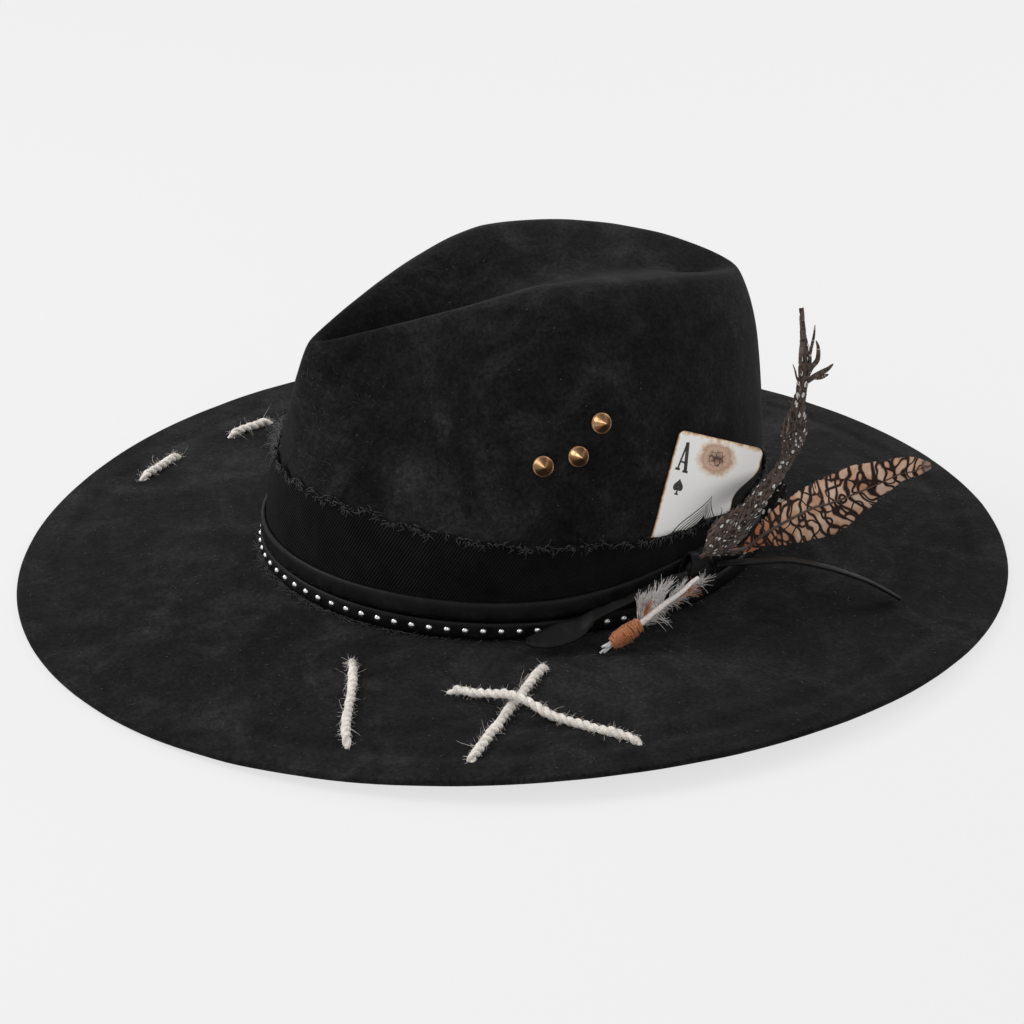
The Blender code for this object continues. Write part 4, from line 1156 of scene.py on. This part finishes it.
def card_print(material):
    """The ace's letter, its small pip, and a plain large spade inside even outlines."""
    heap = Heap()
    foot, top, right = Vector((0.0035, 0.0277)), Vector((0.0049, 0.0381)), Vector((0.0074, 0.0272))
    bar(heap, foot, top, 0.0008)
    bar(heap, top + Vector((0.0001, 0.0004)), right, 0.0016)
    bar(heap, foot.lerp(top, 0.30), right.lerp(top, 0.30), 0.0007)
    bar(heap, foot - Vector((0.0011, 0)), foot + Vector((0.0011, 0)), 0.0009)
    bar(heap, right - Vector((0.0014, 0)), right + Vector((0.0012, 0)), 0.0009)
    pip = spade_outline()
    inked(heap, pip, (0.0060, 0.0208), 0.0050, 0.0062)
    bar(heap, (0.0060, 0.0206), (0.0060, 0.0180), 0.0008)
    bar(heap, (0.0051, 0.0180), (0.0069, 0.0180), 0.0006)
    for line in SPADE_LINES + (SpadeLine(LARGE_SPADE_FILLED, 0.0),):
        inked(heap, pip, LARGE_SPADE_MIDDLE, LARGE_SPADE_WIDTH * line.size, LARGE_SPADE_HEIGHT * line.size,
              line.hole)
    return heap.piece("card_print", material, "card", smooth=False)


FeatherLook = namedtuple("FeatherLook", "barbs sweep camber jag splits loose seed quill_radius")
STRAIGHT_RACHIS = ((0.0, 0.0), (1.0, 0.0))
PHEASANT_RACHIS = ((0.0, 0.0), (0.25, -0.18), (0.45, -0.24), (0.55, -0.09), (0.67, 0.11), (0.78, 0.24),
                   (0.90, 0.36), (1.0, 0.0))
VANE_WALL = 0.00025
VANE_SEGMENTS = 7
PLUME_STEPS = 240


class Plume:
    """A feather's curved middle line, its half width and its directions at each share of its length."""

    def __init__(self, rows, reach, rise, width, rachis=STRAIGHT_RACHIS):
        self.path = smooth_path(route(rows, reach, rise), PLUME_STEPS)
        halves = smooth_path([Vector((row.width * width / 2, 0, 0)) for row in rows], PLUME_STEPS)
        self.halves = [half.x for half in halves]
        self.rachis = rachis
        self.last = PLUME_STEPS - 1
        self.length = sum((b - a).length for a, b in zip(self.path, self.path[1:]))
        self.frames = []
        for i in range(PLUME_STEPS):
            travel = travel_at(self.path, i)
            side = travel.cross(TRIMMED_SIDE).normalized()
            self.frames.append((travel, side, side.cross(travel)))

    def half(self, along):
        return float(np.interp(along * self.last, range(self.last + 1), self.halves))

    def quill(self, along):
        shares, offsets = zip(*self.rachis)
        return float(np.interp(along, shares, offsets)) * self.half(along)

    def frame(self, along):
        return self.frames[int(min(max(along, 0.0), 0.9999) * self.last)]

    def point(self, along, across, lift=0.0):
        place = min(max(along, 0.0), 0.9999) * self.last
        i = int(place)
        _, side, face = self.frames[i]
        return self.path[i].lerp(self.path[i + 1], place - i) + side * across + face * lift


def feather(name, plume, look, material, quill_material, slot, replaces):
    """One thin vane whose rows run along the barbs, its quill, and barbs that lie loose on it."""
    rng = random.Random(look.seed)
    heap = Heap()
    sections, uvs = [], []
    split = {-1: 0, 1: 0}
    for number in range(look.barbs + 1):
        start = number / look.barbs
        sides, sides_uv = [], []
        for hand in (-1, 1):
            if split[hand] == 0 and rng.random() < look.splits:
                split[hand] = rng.randint(1, 3)
            short = 1.0
            if split[hand]:
                split[hand] -= 1
                short = rng.uniform(0.72, 0.88)
            clump = noise.noise(Vector((start * 22, hand * 3.1, look.seed)))
            end = short * (1.0 + look.jag * (rng.uniform(-0.5, 0.5) + clump))
            points, places = [], []
            for k in range(VANE_SEGMENTS + 1):
                q = end * k / VANE_SEGMENTS
                along = start + look.sweep * (1 - start) ** 0.6 * q
                half, root = plume.half(along), plume.quill(along)
                across = root + (hand * half - root) * q
                ripple = noise.noise(Vector((start * 16, hand * q * 2, look.seed + 5.0))) * 0.0007 * q
                lift = ripple - look.camber * half * q * q
                points.append((along, across, lift))
                places.append((across - root, along * plume.length))
            sides.append(points)
            sides_uv.append(places)
        row = sides[0][:0:-1] + sides[1]
        row_uv = sides_uv[0][:0:-1] + sides_uv[1]
        upper = [plume.point(*place) for place in row]
        lower = [plume.point(a, x, lift - VANE_WALL) for a, x, lift in reversed(row)]
        sections.append(upper + lower)
        uvs.append(row_uv + row_uv[::-1])
    heap.closed(sections, uvs)
    for _ in range(look.loose):
        loose_barb(heap, rng, plume, rng.uniform(0.02, 0.86))
    heap.piece(f"{name}_vane", material, slot, replaces)
    heap = Heap()
    shares = [i / 60 for i in range(61)]
    heap.tube([plume.point(s, plume.quill(s), 0.0003) for s in shares],
              [look.quill_radius * (1.0 - 0.80 * s) for s in shares], 6)
    heap.piece(f"{name}_rachis", quill_material, slot)


def loose_barb(heap, rng, plume, start):
    """A flat clump of barbs that winds round the feather's face from one edge towards the other."""
    steps = 12
    hand = rng.choice((-1, 1))
    length = rng.uniform(0.05, 0.13)
    first, final = rng.uniform(-0.9, 0.1) * hand, rng.uniform(0.5, 1.35) * hand
    breadth = rng.uniform(0.00035, 0.00085)
    rows, uvs = [], []
    for k in range(steps + 1):
        q = k / steps
        along = min(start + length * q, 1.0)
        angle = first + (final - first) * q
        half = max(plume.half(along), 0.0012)
        across, lift = half * math.sin(angle), 0.0004 + half * 0.38 * math.cos(angle)
        centre = plume.point(along, across, lift)
        _, side, face = plume.frame(along)
        edge = (side * math.cos(angle) - face * math.sin(angle)) * breadth
        edge *= math.sin(math.pi * (0.06 + 0.9 * q))
        over = spoke(face, side, angle) * VANE_WALL / 2
        rows.append([centre - edge, centre + over, centre + edge, centre - over])
        uvs.append([(across - breadth, along * plume.length), (across, along * plume.length),
                    (across + breadth, along * plume.length), (across, along * plume.length)])
    heap.closed(rows, uvs)


Fray = namedtuple("Fray", "start radius points")
FRAYS = (
    # from a share of the feather's length, places to the back of the hat and up, in millimetres
    Fray(0.80, 0.0011, ((0.0, 0.0), (-1.2, 10.0), (-0.7, 20.0), (-1.0, 25.0), (-1.6, 31.5))),
    Fray(0.82, 0.0006, ((0.7, 0.0), (2.1, 11.0), (3.0, 17.0), (3.2, 21.5))),
    Fray(0.81, 0.0010, ((1.0, 0.0), (2.6, 5.0), (4.9, 8.5), (5.0, 13.5), (4.0, 16.5))),
    Fray(0.80, 0.0011, ((1.4, 0.5), (3.8, 2.8), (6.9, 4.7), (9.3, 6.3), (11.2, 8.3))),
    Fray(0.80, 0.0009, ((3.8, 2.4), (6.9, 2.8), (9.6, 4.0))),
    Fray(0.79, 0.0004, ((-0.6, 0.0), (-2.2, 3.4), (-3.2, 7.2), (-4.2, 9.8))),
    Fray(0.72, 0.0004, ((-0.3, 0.0), (-2.2, 1.8), (-3.8, 3.2))),
)
TOWARDS_BACK = Vector((0.34, 0.94, 0.0))
FRAY_STEPS = 22


def frayed_tips(plume, material):
    """The worn top of the tall feather, parted into curled strands."""
    heap = Heap()
    for fray in FRAYS:
        root = plume.point(fray.start, 0.0)
        points = [root + TOWARDS_BACK * (x / 1000) + UP * (z / 1000) for x, z in fray.points]
        path = smooth_path(points, FRAY_STEPS)
        shape = [math.sin(math.pi * (0.18 + 0.80 * i / (FRAY_STEPS - 1))) ** 0.7 for i in range(FRAY_STEPS)]
        heap.tube(path, [fray.radius * s for s in shape], 6,
                  [(fray.radius * 3, (0.1 + 0.02 * i) * 0.2) for i in range(FRAY_STEPS)])
    heap.piece("guinea_tips", material, "guinea")


Fan = namedtuple("Fan", "first last hand lean shortest longest count thick")
PALE_FANS = (
    Fan(0.37, 0.43, -1, 0.35, 0.0080, 0.0120, 70, 0.00016),
    Fan(0.46, 0.62, -1, 0.80, 0.0060, 0.0125, 150, 0.00016),
    Fan(0.66, 0.80, -1, 0.90, 0.0030, 0.0050, 50, 0.00014),
    Fan(0.38, 0.70, 1, 0.50, 0.0020, 0.0045, 110, 0.00010),
    Fan(0.45, 0.60, 1, 0.30, 0.0060, 0.0090, 9, 0.00022),
    Fan(0.66, 0.86, 1, 1.00, 0.0040, 0.0075, 60, 0.00012),
    Fan(0.86, 0.98, 1, 1.50, 0.0050, 0.0090, 26, 0.00022),
)
RUST_FANS = (
    Fan(0.42, 0.50, -1, 0.60, 0.0035, 0.0068, 110, 0.00024),
    Fan(0.66, 0.84, 1, 0.90, 0.0030, 0.0070, 46, 0.00020),
)


def fans(heap, rng, path, table):
    """Hairs that spread from a shaft, a row of the table for each group of them."""
    last = len(path) - 1
    for fan in table:
        for _ in range(fan.count):
            i = min(max(int(rng.uniform(fan.first, fan.last) * last), 1), last - 1)
            travel = travel_at(path, i)
            side = travel.cross(TRIMMED_SIDE).normalized() * fan.hand
            lean = fan.lean * rng.uniform(0.75, 1.25)
            heading = (side + travel * lean + TRIMMED_SIDE * rng.uniform(-0.15, 0.35)).normalized()
            bend = travel * rng.uniform(-0.1, 0.6) - side * rng.uniform(0.0, 0.35)
            if fan.hand > 0:
                bend += stray(rng) * 0.5
            curl(heap, rng, path[i] + side * 0.0008, heading, rng.uniform(fan.shortest, fan.longest),
                 fan.thick, bend, steps=6)


QuillEnd = namedtuple("QuillEnd", "shift reach radius")
QUILL_ENDS = (
    QuillEnd(-0.0011, 0.0007, 0.00075),
    QuillEnd(0.0, -0.0004, 0.0009),
    QuillEnd(0.0011, 0.0014, 0.0007),
    QuillEnd(0.0004, 0.0026, 0.0006),
)


def quill_bundle(quill_material, silver_material, down_material, rust_material):
    """Bare flat quill, its pale down and a small rust tuft, between the binding and the knot."""
    rng = random.Random(23)
    path = smooth_path(route(QUILL_ROWS, QUILL_REACH, QUILL_RISE), 60)
    heap = Heap()
    shaft = path[12:58]
    heap.tube(shaft, [0.00150 - 0.00070 * i / (len(shaft) - 1) for i in range(len(shaft))], 12)
    heap.piece("bundle_quills", quill_material, "quill", ["feather_quill"])
    heap = Heap()
    travel = (path[1] - path[0]).normalized()
    side = travel.cross(TRIMMED_SIDE).normalized()
    for shift, reach, radius in QUILL_ENDS:
        start = path[1] + side * shift - travel * reach
        heap.tube([start, start.lerp(path[9], 0.5), path[9] + side * shift * 0.6],
                  [radius * 0.7, radius, radius], 5)
    heap.piece("quill_cut_end", silver_material, "quill")
    heap = Heap()
    fans(heap, rng, path, PALE_FANS)
    heap.piece("bundle_down", down_material, "quill")
    heap = Heap()
    fans(heap, rng, path, RUST_FANS)
    heap.piece("bundle_tuft", rust_material, "copper_thread")


WRAP_STEPS, WINDING_SIDES = 200, 24
Winding = namedtuple("Winding", "windings thick stand")
WINDINGS = (
    # a minus sign winds the other way round
    Winding(9, 0.00080, -0.0008),
    Winding(-13, 0.00026, -0.0002),
    Winding(17, 0.00022, -0.0001),
)


def thread_wrap(material):
    """Thick thread wound round the bundle's lower end, a thin one crossing it, and loose fuzz."""
    rng = random.Random(31)
    noise.seed_set(31)
    path = smooth_path(route(QUILL_ROWS, QUILL_REACH, QUILL_RISE), WRAP_STEPS)
    first, final = int(WRAP_FROM * (WRAP_STEPS - 1)), int(WRAP_TO * (WRAP_STEPS - 1))
    frames = strand_frames(path)
    heap = Heap()
    core = [path[i] for i in range(first, final)]
    heap.tube(core, [wrap_radius((i - first) / (final - first)) - 0.0013 for i in range(first, final)], 20)
    for windings, thick, stand in WINDINGS:
        points = []
        count = abs(windings) * WINDING_SIDES
        for step in range(count + 1):
            share = step / count
            place = first + (final - 1 - first) * share
            i = int(place)
            side, over = frames[i]
            angle = 2 * math.pi * step / WINDING_SIDES * math.copysign(1, windings)
            uneven = 0.00025 * noise.noise(Vector((angle * 0.9, share * 9, thick * 9000)))
            points.append(path[i].lerp(path[i + 1], place - i)
                          + spoke(side, over, angle) * (wrap_radius(share) + stand + uneven))
        heap.tube(points, [thick] * len(points), 6)
        for _ in range(60):
            start = points[rng.randrange(len(points))]
            heading = noise.random_unit_vector().lerp(TRIMMED_SIDE, 0.4).normalized()
            curl(heap, rng, start, heading, rng.uniform(0.001, 0.0026), 0.00007, stray(rng))
    return heap.piece("wound_thread", material, "copper_thread", ["thread_wrap"])


def wrap_radius(share):
    return float(np.interp(share, (0.0, 0.2, 0.6, 1.0), (0.0022, 0.0032, 0.0036, 0.0028)))


TWINE_FIBRES_PER_METRE, TWINE_END_FIBRES = 7000, 26


def twine_stitches(material):
    """Two-ply twine laid over the brim, its ends drawn down into the felt, with loose fibres."""
    rng = random.Random(41)
    noise.seed_set(41)
    for spec in STITCHES:
        start = trim_point(math.radians(spec.start_turn), spec.start_reach * BRIM_REACH_ACROSS, 0)
        end = trim_point(math.radians(spec.end_turn), spec.end_reach * BRIM_REACH_ACROSS, 0)
        length = (end - start).length
        crossing = (TWINE_RADIUS * 2 + TWINE_GAP * 2) * spec.over
        steps = max(int(length / 0.0006), 24)
        sideways = (end - start).cross(UP).normalized()
        path = []
        for step in range(steps + 1):
            share = step / steps
            place = start.lerp(end, share) + sideways * (
                noise.noise(Vector((share * length * 60, 7.0, spec.start_turn))) * 0.0011)
            turn, out = foot_polar(place)
            hump = crossing * math.exp(-((share - spec.over_at) / (HUMP_SPREAD * 0.8)) ** 2)
            near_end = min(share, 1 - share) * length
            dip = 0.0030 * max(1 - near_end / 0.0030, 0.0) ** 1.6
            path.append(trim_point(turn, out, TWINE_RADIUS * 0.82 + hump - dip))
        frames = strand_frames(path)
        heap = Heap()
        for ply in range(2):
            strand, radii = [], []
            for i, (point, (side, over)) in enumerate(zip(path, frames)):
                share = i / steps
                angle = 2 * math.pi * (ply / 2 + share * length / 0.0068)
                thick = 1.0 + 0.30 * noise.noise(Vector((share * length * 150, ply * 5.0, spec.end_turn)))
                strand.append(point + spoke(side, over, angle) * 0.00075 * thick)
                radii.append(0.00110 * thick)
            heap.tube(strand, radii, 9)
        for _ in range(int(length * TWINE_FIBRES_PER_METRE)):
            i = rng.randrange(1, len(path) - 1)
            side, over = frames[i]
            angle = rng.uniform(0, 2 * math.pi)
            away = spoke(side, over, angle)
            travel = travel_at(path, i) * rng.choice((-1, 1))
            heading = (away * rng.uniform(0.25, 0.9) + travel * rng.uniform(0.3, 1.4)).normalized()
            reach = rng.uniform(0.004, 0.0085) if rng.random() < 0.05 else rng.uniform(0.0010, 0.0032)
            curl(heap, rng, path[i] + away * 0.0014, heading, reach, rng.uniform(0.00005, 0.00009),
                 stray(rng, -0.8, 0.6) * 1.3, 5)
        for tip, inner in ((path[1], path[5]), (path[-2], path[-6])):
            away = (tip - inner).normalized()
            for _ in range(TWINE_END_FIBRES):
                heading = (away + noise.random_unit_vector() * 0.7 + UP * 0.35).normalized()
                curl(heap, rng, tip.lerp(inner, rng.random()), heading, rng.uniform(0.0015, 0.0050), 0.00010,
                     stray(rng, -0.8, 0.3) * 0.8, 5)
        heap.piece(f"twine_{spec.name}", material, "twine", [spec.name])


# Studio

CAMERA_TURN, CAMERA_RISE = math.radians(70.0), math.radians(27.2)
CAMERA_DISTANCE, CAMERA_LENS = 1.330, 114.25
CAMERA_SHIFT = (-0.0037, 0.0467)


def camera():
    data = bpy.data.cameras.new("camera")
    data.lens = CAMERA_LENS
    data.sensor_width = 36.0
    data.shift_x, data.shift_y = CAMERA_SHIFT
    back = Vector((math.sin(CAMERA_TURN) * math.cos(CAMERA_RISE),
                   -math.cos(CAMERA_TURN) * math.cos(CAMERA_RISE), math.sin(CAMERA_RISE)))
    node = bpy.data.objects.new("camera", data)
    node.location = back * CAMERA_DISTANCE
    node.rotation_euler = back.to_track_quat("Z", "Y").to_euler()
    bpy.context.scene.collection.objects.link(node)
    bpy.context.scene.camera = node


def studio():
    """A pale floor that shines evenly, even light from all round, and soft lamps left and behind."""
    made, shader, add, link = finish("studio_floor", 1.0, Specular_IOR_Level=0.0, Emission_Strength=0.71,
                                     Emission_Color=(1.0, 1.0, 1.0, 1.0))
    grey = speckle(add, position(add), 1.2, 2.0)
    link(ramp(add, grey, (0.0, (0.145,)), (1.0, (0.155,))), shader.inputs["Base Color"])
    bpy.ops.mesh.primitive_plane_add(size=12.0, location=(0, 0, -0.0002))
    floor = bpy.context.object
    floor.name = "studio_floor"
    floor.data.materials.append(made)
    world = bpy.data.worlds.new("studio")
    world.use_nodes = True
    world.node_tree.nodes["Background"].inputs["Color"].default_value = (1.0, 1.0, 1.0, 1.0)
    world.node_tree.nodes["Background"].inputs["Strength"].default_value = 0.60
    bpy.context.scene.world = world
    bpy.context.scene.view_settings.view_transform = "Standard"
    lamp("key", (-0.45, -1.05, 1.05), 0.9, 13.0)
    lamp("rim", (-0.25, 1.35, 0.95), 0.9, 7.0)
    lamp("fill", (1.6, -0.2, 1.5), 1.2, 4.5)


def lamp(name, place, size, power):
    data = bpy.data.lights.new(name, "AREA")
    data.shape = "DISK"
    data.size = size
    data.energy = power
    node = bpy.data.objects.new(name, data)
    node.location = place
    node.rotation_euler = Vector(place).to_track_quat("Z", "Y").to_euler()
    bpy.context.scene.collection.objects.link(node)


camera()
studio()
felt = felt_finish()
twill = twill_finish()
leather = leather_finish()
felt_body(felt)
lint(thread_finish("lint", (0.05, 0.05, 0.05), (0.20, 0.20, 0.20), 2200.0))
twill_band(twill)
fringe(thread_finish("twill_threads", (0.002, 0.002, 0.002), (0.020, 0.020, 0.021), 2200.0, 0.45),
       thread_finish("grey_hair", (0.06, 0.06, 0.065), (0.22, 0.22, 0.23), 2200.0))
leather_straps(leather)
strap_studs(metal_finish("nickel", (0.90, 0.90, 0.89), (0.70, 0.69, 0.68), 0.20))
leather_knot(leather)
tie_tails(leather)
cone_studs(metal_finish("aged_brass", (0.50, 0.29, 0.15), (0.27, 0.145, 0.075), 0.34))
playing_card(card_finish())
card_print(ink_finish())
pale_quill = thread_finish("pale_quill", (0.62, 0.53, 0.49), (0.90, 0.84, 0.81), 1100.0, 0.5)
dark_quill = thread_finish("dark_quill", (0.020, 0.013, 0.010), (0.085, 0.050, 0.035), 700.0, 0.5)
guinea_barbs = feather_finish("guinea_barbs", dotted(
    ground=(0.135, 0.095, 0.080), dark=(0.016, 0.012, 0.011), pale=(0.50, 0.44, 0.40),
    spot=(0.86, 0.83, 0.80), size=0.25), slant=3.0)
guinea = Plume(GUINEA_ROWS, GUINEA_REACH, GUINEA_RISE, GUINEA_WIDTH)
feather("guinea", guinea, FeatherLook(barbs=170, sweep=0.10, camber=0.35, jag=0.22, splits=0.05, loose=110,
                                    seed=3, quill_radius=0.0009),
        guinea_barbs, dark_quill, "guinea", ["guinea_feather"])
frayed_tips(guinea, guinea_barbs)
dark_guinea_barbs = feather_finish("dark_guinea_barbs", dotted(
    ground=(0.006, 0.006, 0.006), dark=(0.003, 0.003, 0.003), pale=(0.010, 0.010, 0.010),
    spot=(0.90, 0.89, 0.87), size=0.27), slant=3.0)
feather("dark_guinea", Plume(DARK_GUINEA_ROWS, DARK_GUINEA_REACH, DARK_GUINEA_RISE, DARK_GUINEA_WIDTH),
        FeatherLook(barbs=120, sweep=0.14, camber=0.25, jag=0.15, splits=0.05, loose=14,
                    seed=7, quill_radius=0.0006), dark_guinea_barbs, dark_quill,
        "dark_guinea", ["dark_guinea_feather"])
pheasant = Plume(PHEASANT_ROWS, PHEASANT_REACH, PHEASANT_RISE, PHEASANT_WIDTH, PHEASANT_RACHIS)
feather("pheasant", pheasant, FeatherLook(barbs=230, sweep=0.10, camber=0.22, jag=0.05, splits=0.02, loose=0,
                                        seed=13, quill_radius=0.0008),
        feather_finish("pheasant_barbs", meanders(pheasant.length)), dark_quill, "pheasant",
        ["pheasant_feather"])
quill_bundle(pale_quill, thread_finish("silvered", (0.45, 0.45, 0.46), (0.95, 0.95, 0.96), 1500.0, 0.3),
             thread_finish("down", (0.30, 0.26, 0.24), (0.80, 0.77, 0.75), 800.0),
             thread_finish("rust_down", (0.20, 0.055, 0.018), (0.60, 0.20, 0.07), 800.0))
thread_wrap(thread_finish("copper_thread", (0.17, 0.045, 0.015), (0.62, 0.23, 0.090), 1600.0, 0.4))
twine_stitches(thread_finish("twine", (0.62, 0.56, 0.49), (0.97, 0.93, 0.87), 1300.0))
